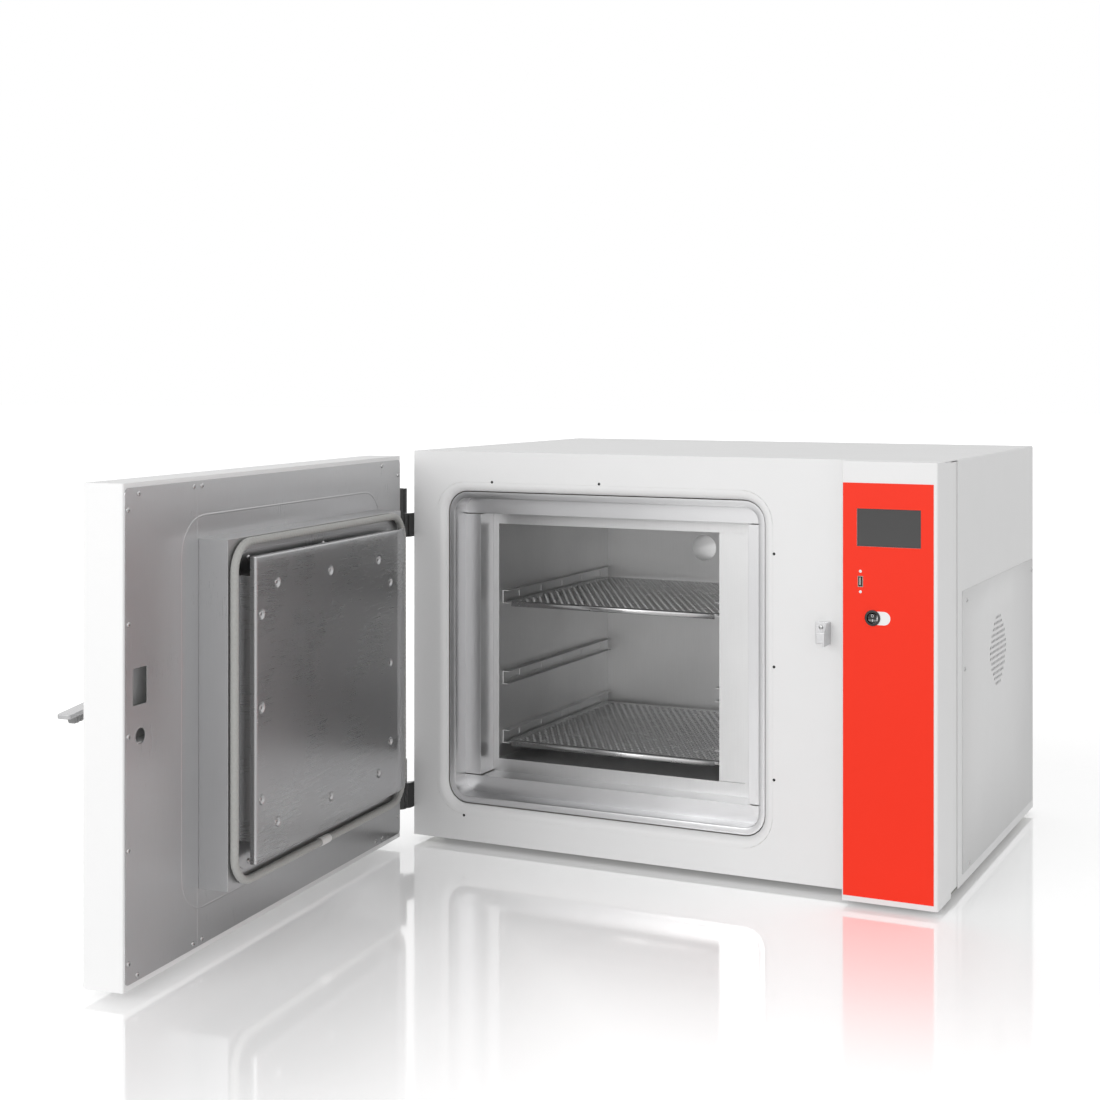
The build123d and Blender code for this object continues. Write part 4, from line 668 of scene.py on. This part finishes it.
@dataclass
class Fasteners:
    """Domed screws with a cross recess, and small dark heads at the front's holes, their dark a painted
    shade of the holes.
    """

    radius: float = 3.6
    height: float = 1.6
    tray_radius: float = 3.5
    small: tuple[float, float] = (2.2, 0.8)
    plug_seat: float = -45.2
    tray_seat: float = -69.0
    cover_seat: float = 1.2
    keeper_seat: float = 3.0
    socket_seat: float = 42.5
    liner_spots: tuple = (
        (720, 613), (742, 594), (599, 614), (580, 614), (741, 453), (741, 315), (741, 175), (741, 36),
        (723, 17), (601, 17), (580, 17), (66, 614), (9, 596), (9, 39), (87, 17), (66, 17),
    )
    plug_spots: tuple = tuple((a, u) for u in (113, 517) for a in (136, 338, 540))
    tray_spots: tuple = tuple((a, u) for a in (217, 364, 510) for u in (160, 482)) + tuple(
        (a, u) for a in (178, 550) for u in (199, 320, 444)
    )
    access_spots: tuple = ((120.6, 421.5), (585, 419), (108, 319.5), (133, 23))
    keeper_spots: tuple = ((708.7, 369.25), (708.7, 385.75))
    rivet_spots: tuple = (
        (633.6, 490.8), (633.6, 321), (633.6, 151), (147.8, 586), (340.8, 588), (95.4, 41),
    )
    socket_spots: tuple = ((781.9, 446.7), (781.9, 476.3))

    def head(
        self, frame: Frame, spot: tuple, out: float, side: int, radius: float, height: float
    ) -> np.ndarray:
        """One domed head whose recess is a four-lobed star.

        At angle t the recess reaches radius (0.16 + 0.36 |cos 2t|^3) R. Its floor, its lip, the
        dome (1 - 0.8 r^2)^0.5 and the seat are rings of the same angles.

        Args:
            frame: the face's axes.
            spot: across and up.
            out: the seat's distance out of the face.
            side: 1 where the head stands outwards, -1 where it stands inwards.
            radius: the head's radius R.
            height: the head's height.

        Returns:
            A grid of points, angles by rings.
        """
        angle = circle(24)[:, None]
        reach = 0.16 + 0.36 * np.abs(np.cos(2 * angle)) ** 3
        recess = [0.0 * reach, 0.9 * reach, reach, np.maximum(reach, 0.55)]
        seat = [np.full_like(reach, share) for share in (0.8, 0.95, 1.0)]
        rings = np.concatenate(recess + seat, axis=1)
        dome = np.sqrt(np.clip(1 - rings**2 * 0.8, 0, 1))
        rise, floor = np.array([(0, 0, 1, 1, 1, 0.8, 0), (0.3, 0.3, 0, 0, 0, 0, 0)])
        return frame.place(
            spot[0] + radius * rings * np.cos(angle),
            spot[1] + radius * rings * np.sin(angle),
            out + side * height * (dome * rise + floor),
        )

    def group(
        self, shop: Shop, name: str, sets: list, finish: Finish, like: str, replaced: tuple
    ) -> None:
        """All heads of some sets as one piece.

        Args:
            shop: where pieces are finished.
            name: the piece's name.
            sets: rows of frame, spots, seat, side, radius and height.
            finish: its surface.
            like: the CAD node whose body it shares.
            replaced: CAD nodes that it stands for.
        """
        grids = [
            self.head(frame, spot, out, side, radius, height)
            for frame, spots, out, side, radius, height in sets
            for spot in spots
        ]
        face = quads(*grids[0].shape[:2], closed_rows=True)
        size = grids[0].shape[0] * grids[0].shape[1]
        faces = np.concatenate([face + i * size for i in range(len(grids))])
        shop.finish(name, np.stack(grids), faces, finish, like, replaced)

    def build(self, shop: Shop) -> None:
        """Makes the screws of the door, the case and the front."""
        size = (self.radius, self.height)
        door = [
            (DOOR, self.liner_spots, 0.0, -1, *size),
            (DOOR, self.plug_spots, self.plug_seat, -1, *size),
            (DOOR, self.tray_spots, self.tray_seat, -1, self.tray_radius, self.height),
        ]
        case = [
            (SIDE, self.access_spots, self.cover_seat, 1, *size),
            (FRONT, self.keeper_spots, self.keeper_seat, 1, *size),
        ]
        rivets = [(FRONT, self.rivet_spots, 0.0, 1, *self.small)]
        socket = [(FRONT, self.socket_spots, self.socket_seat, 1, *self.small)]
        self.group(shop, "door_screw_heads", door, SCREW, "door_screws", ("door_screws",))
        self.group(shop, "case_screw_heads", case, SCREW, "cabinet_screws", ("cabinet_screws",))
        self.group(shop, "rim_rivets", rivets, HOLE_SHADE_HEAD, "front_screws", ("front_screws",))
        self.group(shop, "socket_screws", socket, WHITE_FILM, "front_screws", ())


@dataclass
class Throat:
    """The way into the chamber: the rolled rim round it, its lip and its wall."""

    middle: tuple[float, float] = (338.0, 314.0)
    half_width: float = 266.0
    half_height: float = 244.0
    corner: float = 23.0
    sheet: float = 1.5
    flat: float = 3.0
    roll: float = 12.0
    lip: float = 12.0
    groove: float = 1.6
    depth: float = 45.0

    def roll_section(self) -> np.ndarray:
        """Closed section of the painted roll, as rows of offset from the opening and depth.

        The flat and a quarter of a circle, then the same path back one sheet behind.
        """
        turn = np.linspace(0, math.pi / 2, 13)
        end, inside = self.lip + self.roll, self.roll - self.sheet
        outer = np.stack([end - self.roll * np.sin(turn), self.roll * (1 - np.cos(turn))], axis=1)
        inner = np.stack([end - inside * np.sin(turn), self.roll - inside * np.cos(turn)], axis=1)
        rim = end + self.flat
        return np.concatenate([[(rim, 0.0)], outer, inner[::-1], [(rim, self.sheet)]])

    def lip_section(self) -> np.ndarray:
        """Closed section of the steel lip and the wall behind it, an angle with a soft corner."""
        start, seat = self.lip - self.groove, self.roll + self.sheet
        return np.array([
            (start, self.roll), (self.sheet, self.roll), (0.4, self.roll + 0.4), (0.0, seat),
            (0.0, self.depth), (self.sheet, self.depth), (self.sheet, seat), (start, seat),
        ])

    def build(self, shop: Shop) -> None:
        """Makes the painted roll, and the steel lip and wall a narrow groove away from it."""
        loop = rounded_loop(self.half_width, self.half_height, self.corner, step=40.0)
        for name, section, finish, like, replaced in (
            ("rolled_throat_rim", self.roll_section(), CASE_PAINT, "throat_rim", ("throat_rim",)),
            ("throat_lip_and_wall", self.lip_section(), STEEL_FRAME, "throat_frame_rails", ()),
        ):
            beyond, depth = section.T[:, None]
            points, faces = carried(FRONT, self.middle, loop, self.corner, beyond, -depth)
            shop.finish(name, points, faces, finish, like, replaced, ROLLED)


@dataclass
class Shelves:
    """Two punched shelves with their front edges turned down."""

    left: float = 114.2
    right: float = 505.8
    front: float = 104.0
    back: float = 492.0
    thickness: float = 1.5
    lip: float = 7.0
    heights: tuple = (("upper_shelf", 376.0), ("lower_shelf", 141.0))
    runner_sheet: float = 1.2
    lip_inset: float = 11.8
    lip_shift: float = 0.5
    trim: float = 0.2
    front_trim: float = 1.0
    skin: float = 0.9
    punching: PunchedSheet = field(
        default_factory=lambda: PunchedSheet(13.0, 11.0, 8.6, 6.4, 28, 33)
    )

    def build(self, shop: Shop) -> None:
        """Makes both shelves."""
        middle = ((self.left + self.right) / 2, (self.front + self.back) / 2)
        wide, deep = (self.right - self.left) / 2, (self.back - self.front) / 2
        edges = (-wide + self.trim, wide - self.trim, -deep + self.front_trim, deep - self.trim)
        keep = np.ones((self.punching.rows, self.punching.columns), bool)
        flat, faces = self.punching.field(edges, keep)
        lip_x = np.array([-wide + self.lip_inset, wide - self.lip_inset])
        turn = np.array([(1.2, 0.0), (0.6, -0.15), (0.3, -0.7), (0.25, -self.lip)])
        lip_across, lip_depth = np.meshgrid(
            lip_x, -deep + turn[:, 0] + self.lip_shift, indexing="ij"
        )
        lip_drop = np.broadcast_to(turn[:, 1], lip_across.shape)
        lip_faces = quads(*lip_across.shape) + len(flat)
        across = np.concatenate([flat[:, 0], lip_across.ravel()]) + middle[0]
        depth = np.concatenate([flat[:, 1], lip_depth.ravel()]) + middle[1]
        drop = np.concatenate([np.zeros(len(flat)), lip_drop.ravel()])
        for node, foot in self.heights:
            level = foot + self.runner_sheet + self.thickness / 2
            points = FRONT.place(across, level + drop, -depth)
            shop.finish(
                f"punched_{node}", points, faces + lip_faces.tolist(), STEEL_SHELF, node, (node,),
                FOLDED, self.thickness * self.skin,
            )


@dataclass
class AccessPanel:
    """The right side's cover with its round field of small vent slots."""

    front: float = 98.0
    back: float = 592.0
    bottom: float = 15.0
    top: float = 437.0
    sheet: float = 1.2
    vent_back: float = 328.0
    vent_up: float = 317.0
    vent_radius: float = 55.0
    punching: PunchedSheet = field(
        default_factory=lambda: PunchedSheet(9.5, 8.8, 6.0, 5.0, 12, 13, False)
    )

    def build(self, shop: Shop) -> None:
        """Makes the cover, its holes only where a cell lies within the round field."""
        rows, columns = self.punching.rows, self.punching.columns
        up = (np.arange(rows) - (rows - 1) / 2)[:, None] * self.punching.row_pitch
        along = (np.arange(columns) - (columns - 1) / 2)[None, :] * self.punching.pitch
        keep = np.hypot(up, along) < self.vent_radius
        edges = (
            self.front - self.vent_back,
            self.back - self.vent_back,
            self.bottom - self.vent_up,
            self.top - self.vent_up,
        )
        flat, faces = self.punching.field(edges, keep)
        points = SIDE.place(flat[:, 0] + self.vent_back, flat[:, 1] + self.vent_up, self.sheet / 2)
        shop.finish(
            "vented_side_cover", points, faces, SHADED_CASE_PAINT, "access_panel", ("access_panel",),
            FOLDED, self.sheet,
        )


@dataclass
class DoorFace:
    """What dresses the door's inner side: tray, braided rope, sleeve and pressed lines."""

    tray_start: float = 112.0
    tray_end: float = 564.0
    tray_bottom: float = 116.0
    tray_top: float = 521.0
    tray_out: float = -72.0
    tray_sheet: float = 1.2
    bend: float = 2.0
    edge: float = 9.4
    wing: float = 43.0
    wing_drop: float = 9.0
    wing_inset: float = 0.4
    crease: float = 1.5
    dimple: float = 7.0
    dimple_floor: float = 4.5
    dimple_depth: float = 3.0
    rope_centre: tuple = (338.0, 315.0)
    rope_half: tuple = (244.0, 224.0)
    rope_corner: float = 38.0
    rope_radius: float = 5.6
    rope_out: float = -50.4
    strands: int = 5
    strand_pitch: float = 7.0
    strand_height: float = 0.95
    sleeve_along: float = 346.0
    sleeve_length: float = 26.0
    sleeve_sheet: float = 0.4
    bead_centre: tuple = (350.0, 317.0)
    bead_half: tuple = (276.0, 258.0)
    bead_corner: float = 50.0
    seam_along: float = 590.7
    seam_heights: tuple = (10.6, 300.0, 620.4)
    proud: float = 0.02
    rose_spot: tuple = (655.0, 345.0)
    rose_out: float = 60.0

    def tray(self, shop: Shop, dimples: tuple) -> None:
        """The pressed tray as one function of along and up.

        Its depth behind the front face is the wing's slope, or the edges' turn (a quarter
        circle of 2 mm and a straight flange), plus a smooth step down into each dimple.

        Args:
            shop: where pieces are finished.
            dimples: the dimples' places, along and up.
        """
        wing_end = self.tray_start + self.wing
        along = self.lines([d[0] for d in dimples], wing_end, self.tray_end)
        up = self.lines([d[1] for d in dimples], self.tray_bottom, self.tray_top)
        turn = np.linspace(math.pi / 2, 0, 5)
        bend, half = self.bend, self.tray_sheet / 2
        last, foot, head = self.tray_end - half, self.tray_bottom + half, self.tray_top - half
        along = along[(along < last - bend) & (along > wing_end + 1)]
        up = up[(up < head - bend) & (up > foot + bend)]
        reach, curve, flange = bend * np.cos(turn), bend * (1 - np.sin(turn)), [self.edge - half]
        slope = [self.tray_start + self.wing_inset, self.tray_start + self.wing / 2, wing_end - self.crease]
        fall = [self.wing_drop, self.wing_drop / 2, 0.25, 0.06, 0.0]
        a_line = np.concatenate(
            [slope, [wing_end, wing_end + self.crease], along, last - bend + reach, [last]]
        )
        a_depth = np.concatenate([fall, np.zeros(len(along)), curve, flange])
        u_line = np.concatenate(
            [[foot], (foot + bend - reach)[::-1], up, head - bend + reach, [head]]
        )
        u_depth = np.concatenate([flange, curve[::-1], np.zeros(len(up)), curve, flange])
        a, u = np.meshgrid(a_line, u_line, indexing="ij")
        ends = np.broadcast_to(u_depth[None, :], a.shape) * (a >= wing_end)
        depth = np.maximum(np.broadcast_to(a_depth[:, None], a.shape), ends)
        for spot in dimples:
            away = np.hypot(a - spot[0], u - spot[1])
            share = np.clip((self.dimple - away) / (self.dimple - self.dimple_floor), 0, 1)
            depth = depth + self.dimple_depth * share * share * (3 - 2 * share)
        points = DOOR.place(a, u, self.tray_out + half + depth)
        shop.finish(
            "pressed_inner_tray", points, quads(*a.shape), STEEL_TRAY, "inner_tray",
            ("inner_tray",), SHARP_DEGREES, self.tray_sheet,
        )

    def lines(self, centres: list, start: float, end: float) -> np.ndarray:
        """Grid lines 14 mm apart, and 1.2 mm apart across each dimple."""
        close = [c + np.arange(-8.4, 8.5, 1.2) for c in sorted(set(centres))]
        wide = np.arange(start, end, 14.0)
        clear = [w for w in wide if all(abs(w - c) > 10 for c in centres)]
        return np.unique(np.round(np.concatenate([*close, clear]), 3))

    def rope(self, shop: Shop) -> None:
        """The braided seal: a ring whose radius follows two crossing families of strands.

        With p and q the turns of the two helices at a point, the strand of the first family
        is on top where floor(p) + floor(q) is even. Its height over the core is the sine
        across the strand, and the other family's shows a little between.
        """
        loop = rounded_loop(*self.rope_half, self.rope_corner, step=1.35)
        run = loop[2]
        turns = round(run[-1] / self.strand_pitch)
        angle = circle(30)[None, :]
        around = self.strands * angle / (2 * math.pi)
        ahead = run[:-1, None] / run[-1] * turns
        p, q = around + ahead, around - ahead
        upper = (np.floor(p) + np.floor(q)) % 2 == 0
        first, second = np.sin(math.pi * (p % 1)), np.sin(math.pi * (q % 1))
        height = np.where(upper, first, second)
        radius = self.rope_radius - self.strand_height + self.strand_height * height
        beyond, out = radius * np.cos(angle), self.rope_out + radius * np.sin(angle)
        points, faces = carried(DOOR, self.rope_centre, loop, self.rope_corner, beyond, out)
        shop.finish("braided_rope_seal", points, faces, ROPE, "rope_seal", ("rope_seal",), ROUND)

    def sleeve(self, shop: Shop) -> None:
        """The woven sleeve over the rope's joint: a tube with rolled ends and a soft waist."""
        steps = np.linspace(0, 1, 25)
        reach = self.rope_radius + 0.3 + 0.35 * np.sin(math.pi * steps) ** 0.3
        angle = circle(28)[None, :]
        fray = 0.12 * np.sin(9 * angle) * (np.abs(steps - 0.5) * 2)[:, None] ** 6
        radius = reach[:, None] + fray
        along = self.sleeve_along + (steps[:, None] - 0.5) * self.sleeve_length + 0 * angle
        points = DOOR.place(
            along,
            self.rope_centre[1] - self.rope_half[1] + radius * np.cos(angle),
            self.rope_out + radius * np.sin(angle),
        )
        faces = quads(*points.shape[:2], closed_columns=True)
        shop.finish(
            "woven_seal_sleeve", points, faces, SLEEVE, "seal_sleeve", ("seal_sleeve",),
            ROUND, self.sleeve_sheet,
        )

    def pressed_lines(self, shop: Shop) -> None:
        """The liner's shallow bead round the plug and its upright seam, as low rounded ridges."""
        bead = np.array([(-1.6, 0.0), (-0.9, -0.22), (0.0, -0.32), (0.9, -0.22), (1.6, 0.0)])
        loop = rounded_loop(*self.bead_half, self.bead_corner, step=20.0)
        beyond, rise = bead.T[:, None]
        points, faces = carried(
            DOOR, self.bead_centre, loop, self.bead_corner, beyond, rise + self.proud
        )
        shop.finish("liner_bead", points, faces, STEEL_DOOR, "door_liner", (), ROUND)
        seam = np.array([(-0.7, 0.0), (-0.35, -0.25), (0.35, -0.25), (0.7, 0.0)])
        heights = np.array(self.seam_heights)[:, None]
        points = DOOR.place(self.seam_along + seam[:, 0], heights, seam[:, 1] + self.proud)
        faces = quads(3, 4, closed_columns=True).tolist() + [[0, 1, 2, 3], [8, 9, 10, 11]]
        shop.finish("liner_seam", points, faces, STEEL_DOOR, "door_liner", (), ROUND)

    def rose(self, shop: Shop) -> None:
        """The round rose under the lever, turned from a domed profile."""
        profile = np.array([
            (5.3, 0.0), (5.3, 5.0), (6.2, 5.0), (14.0, 4.9),
            (19.5, 4.4), (22.6, 3.2), (24.0, 1.2), (24.0, 0.0),
        ])
        x, y, rise = turned(profile, 48)
        points = DOOR.place(self.rose_spot[0] + x, self.rose_spot[1] + y, rise + self.rose_out)
        faces = quads(48, len(profile), closed_rows=True, closed_columns=True)
        shop.finish(
            "turned_handle_rose", points, faces, BLACK_PLASTIC, "handle_rose", ("handle_rose",), FOLDED
        )

    def build(self, shop: Shop) -> None:
        """Makes every piece of the door's dress."""
        self.tray(shop, Fasteners().tray_spots)
        self.rope(shop)
        self.sleeve(shop)
        self.pressed_lines(shop)
        self.rose(shop)


@dataclass
class Controls:
    """The tower's small parts: the plate beside the switch and the rocker's two marks."""

    across: float = 800.2
    up: float = 409.8
    face: float = 42.5
    plate_start: float = 806.4
    plate_reach: float = 826.6
    plate_half: float = 9.7
    plate_sheet: float = 0.15
    ring_radii: tuple[float, float] = (1.5, 2.15)
    ring_up: float = 3.3
    bar_half: float = 0.45
    bar_ends: tuple[float, float] = (-5.3, -1.9)
    mark_height: float = 0.12
    rocker_half: float = 6.4

    def plate(self, shop: Shop) -> None:
        """The pale half-oval printed beside the switch, as a thin plate with a round end."""
        turn = np.linspace(-math.pi / 2, math.pi / 2, 25)
        centre = self.plate_reach - self.plate_half
        edge = np.stack(
            [centre + self.plate_half * np.cos(turn), self.up + self.plate_half * np.sin(turn)],
            axis=1,
        )
        foot = (self.plate_start, self.up - self.plate_half)
        head = (self.plate_start, self.up + self.plate_half)
        outline = np.concatenate([[foot], edge, [head]])
        front = FRONT.place(outline[:, 0], outline[:, 1], self.face + self.plate_sheet)
        back = FRONT.place(outline[:, 0], outline[:, 1], self.face)
        count = len(outline)
        faces = quads(2, count, closed_columns=True).tolist()
        faces += [list(range(count)), list(range(2 * count - 1, count - 1, -1))]
        points = np.stack([front, back])
        shop.finish("switch_side_plate", points, faces, WHITE_FILM, "label_panel", (), FOLDED)

    def marks(self, shop: Shop) -> None:
        """A ring above and a bar below on the rocker, raised by about a tenth of a millimetre."""
        turn = circle(28)[:, None]
        ring = np.array(self.ring_radii)
        bar = np.meshgrid(
            np.array([-self.bar_half, self.bar_half]), np.linspace(*self.bar_ends, 5), indexing="ij"
        )
        for name, across, up, faces in (
            (
                "rocker_ring_mark",
                self.across + ring * np.cos(turn),
                self.up + self.ring_up + ring * np.sin(turn),
                quads(28, 2, closed_rows=True),
            ),
            ("rocker_bar_mark", self.across + bar[0], self.up + bar[1], quads(2, 5)),
        ):
            height = self.mark_height
            points = FRONT.place(across, up, self.rocker_face(up) + height)
            shop.finish(name, points, faces, WHITE_FILM, "switch_rocker", (), ROUND, height)

    def rocker_face(self, up: np.ndarray) -> np.ndarray:
        """Distance out of the rocker's face at a height.

        Args:
            up: heights in mm.

        Returns:
            The parabola through (-6.4, 43.9), (0, 42.5) and (6.4, 45.5), as its CAD section has.
        """
        z = (np.asarray(up) - self.up) / self.rocker_half
        return self.face + 0.8 * z + 2.2 * z * z

    def build(self, shop: Shop) -> None:
        """Makes the plate and the marks."""
        self.plate(shop)
        self.marks(shop)


@dataclass
class Feet:
    """Four moulded rubber feet."""

    spots: tuple = tuple((a, b) for a in (45.0, 851.0) for b in (60.0, 556.5))

    def build(self, shop: Shop) -> None:
        """Turns each foot's ribbed profile about its upright axis."""
        profile = np.array([
            (0.0, 0.0), (19.6, 0.0), (20.0, -0.8), (20.0, -3.0), (19.2, -3.6), (19.2, -4.6),
            (20.0, -5.2), (20.0, -8.6), (18.6, -10.0), (7.0, -10.0), (5.5, -8.0), (0.0, -8.0),
        ])
        x, y, rise = turned(profile, 36)
        grids = [UNDER.place(a + x, rise, b + y) for a, b in self.spots]
        face = quads(36, len(profile), closed_rows=True)
        faces = np.concatenate([face + i * 36 * len(profile) for i in range(len(grids))])
        shop.finish("rubber_feet", np.stack(grids), faces, RUBBER, "feet", ("feet",), FOLDED)


@dataclass
class Studio:
    """Floor, light and camera of the picture."""

    lens: float = 55.98
    sensor: float = 36.0
    clip: float = 100.0
    shift: tuple[float, float] = (-0.0909, -0.1595)
    camera_at: tuple[float, float, float] = (1.4811, -2.4778, 0.7704)
    yaw: float = 24.408
    ambient: float = 0.68
    boxes: tuple = (
        ("key", (-0.5, -4.2, 1.7), (3.0, 2.0), 50.0),
        ("fill", (2.6, -4.5, 1.2), (3.0, 2.0), 10.0),
    )
    aim: tuple[float, float, float] = (0.35, 0.1, 0.3)
    footprints: tuple = (
        ((0.403, 0.24, 0.0), (0.448, 0.34, 1.0)),
        ((-0.06, -0.46, 0.0), (0.09, 0.38, 1.0)),
    )
    floor_half: float = 30.0

    def camera(self) -> None:
        """The camera: level, with the photograph's lens, angle and shift."""
        data = bpy.data.cameras.new("camera")
        data.lens, data.sensor_width = self.lens, self.sensor
        data.shift_x, data.shift_y = self.shift
        data.clip_end = self.clip
        item = placed("camera", data)
        item.location = self.camera_at
        item.rotation_euler = (math.pi / 2, 0.0, math.radians(self.yaw))
        bpy.context.scene.camera = item

    def world(self) -> None:
        """A level grey sky for light, and plain white where the camera, gloss or glass see it."""
        world = bpy.data.worlds.new("studio")
        tree = emptied(world)
        rays = add(tree, "LightPath", {}).outputs
        seen = rays["Is Camera Ray"]
        for other in ("Is Glossy Ray", "Is Transmission Ray"):
            seen = add(tree, "Math", {"operation": "MAXIMUM", 0: seen, 1: rays[other]}).outputs[0]
        level = add(tree, "MapRange", {"Value": seen, "To Min": self.ambient, "To Max": 1.0})
        light = add(
            tree, "Background", {"Color": (1, 1, 1, 1), "Strength": level.outputs["Result"]}
        )
        add(tree, "OutputWorld", {"Surface": light.outputs["Background"]})
        bpy.context.scene.world = world

    def lamps(self) -> None:
        """Two soft boxes before the case: the key on the left, a weaker low fill on the right."""
        for name, place, size, power in self.boxes:
            data = bpy.data.lights.new(name, "AREA")
            data.shape, data.size, data.size_y = "RECTANGLE", *size
            data.energy = power
            item = placed(name, data)
            item.location = place
            way = Vector(self.aim) - item.location
            item.rotation_euler = way.to_track_quat("-Z", "Y").to_euler()

    def reach(self, tree: bpy.types.NodeTree) -> bpy.types.NodeSocket:
        """Distance of a spot on the floor from the nearer footprint.

        Args:
            tree: the floor's node tree.

        Returns:
            The smaller length of max(|spot - centre| - half, 0), for the case and the door.
        """
        where = add(tree, "TexCoord", {}).outputs["Object"]
        lengths = []
        for centre, half in self.footprints:
            spot = where
            for step in (
                {"operation": "SUBTRACT", 1: centre},
                {"operation": "ABSOLUTE"},
                {"operation": "SUBTRACT", 1: half},
                {"operation": "MAXIMUM", 1: (0, 0, 0)},
            ):
                spot = add(tree, "VectorMath", step | {0: spot}).outputs[0]
            length = add(tree, "VectorMath", {"operation": "LENGTH", 0: spot})
            lengths.append(length.outputs["Value"])
        case, door = lengths
        return add(tree, "Math", {"operation": "MINIMUM", 0: case, 1: door}).outputs[0]

    def floor(self) -> None:
        """A pale glossy floor whose mirror image fades away from the oven's foot."""
        material = bpy.data.materials.new("pale_gloss_floor")
        tree = emptied(material)
        reach = self.reach(tree)
        camera = add(tree, "LightPath", {}).outputs["Is Camera Ray"]
        fade = add(tree, "MapRange", {
            "Value": reach, "From Min": 0.0, "From Max": 0.75, "To Min": 0.4, "To Max": 0.03,
            "interpolation_type": "SMOOTHERSTEP",
        }).outputs["Result"]
        bright = add(tree, "MapRange", {
            "Value": reach, "From Min": 0.3, "From Max": 2.5, "To Min": 0.3, "To Max": 0.62,
        }).outputs["Result"]
        seen = add(tree, "Math", {"operation": "MULTIPLY", 0: camera, 1: bright}).outputs[0]
        glow = add(tree, "Emission", {"Color": (1, 1, 1, 1), "Strength": seen}).outputs[0]
        pale = add(tree, "BsdfDiffuse", {"Color": (0.97, 0.97, 0.97, 1)}).outputs[0]
        lit = add(tree, "AddShader", {0: pale, 1: glow}).outputs[0]
        mirror = add(tree, "BsdfGlossy", {"Color": (1, 1, 1, 1), "Roughness": 0.07}).outputs[0]
        both = add(tree, "MixShader", {0: fade, 1: lit, 2: mirror}).outputs[0]
        add(tree, "OutputMaterial", {"Surface": both})
        mesh = bpy.data.meshes.new("floor")
        edge = np.linspace(-self.floor_half, self.floor_half, 7)
        x, y = np.meshgrid(edge, edge, indexing="ij")
        points = np.stack([x, y, np.zeros_like(x)], axis=-1).reshape(-1, 3)
        mesh.from_pydata(points.tolist(), [], quads(7, 7).tolist())
        mesh.flip_normals()
        mesh.materials.append(material)
        item = placed("floor", mesh)

    def build(self) -> None:
        """Sets up the whole studio."""
        bpy.context.scene.view_settings.view_transform = "Standard"
        self.camera()
        self.world()
        self.lamps()
        self.floor()


def main() -> None:
    """Loads the frame, builds the studio, and dresses every node and piece."""
    logging.basicConfig(level=logging.INFO, format="%(name)s %(message)s")
    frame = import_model()
    shop = Shop(frame)
    Studio().build()
    for (finish, width), nodes in CAD_FINISHES.items():
        for node in nodes:
            shop.softened(node, finish, width)
    for part in (Throat(), Shelves(), AccessPanel(), DoorFace(), Controls(), Fasteners(), Feet()):
        LOG.info("building %s", type(part).__name__)
        part.build(shop)


if __name__ == "__main__":
    main()
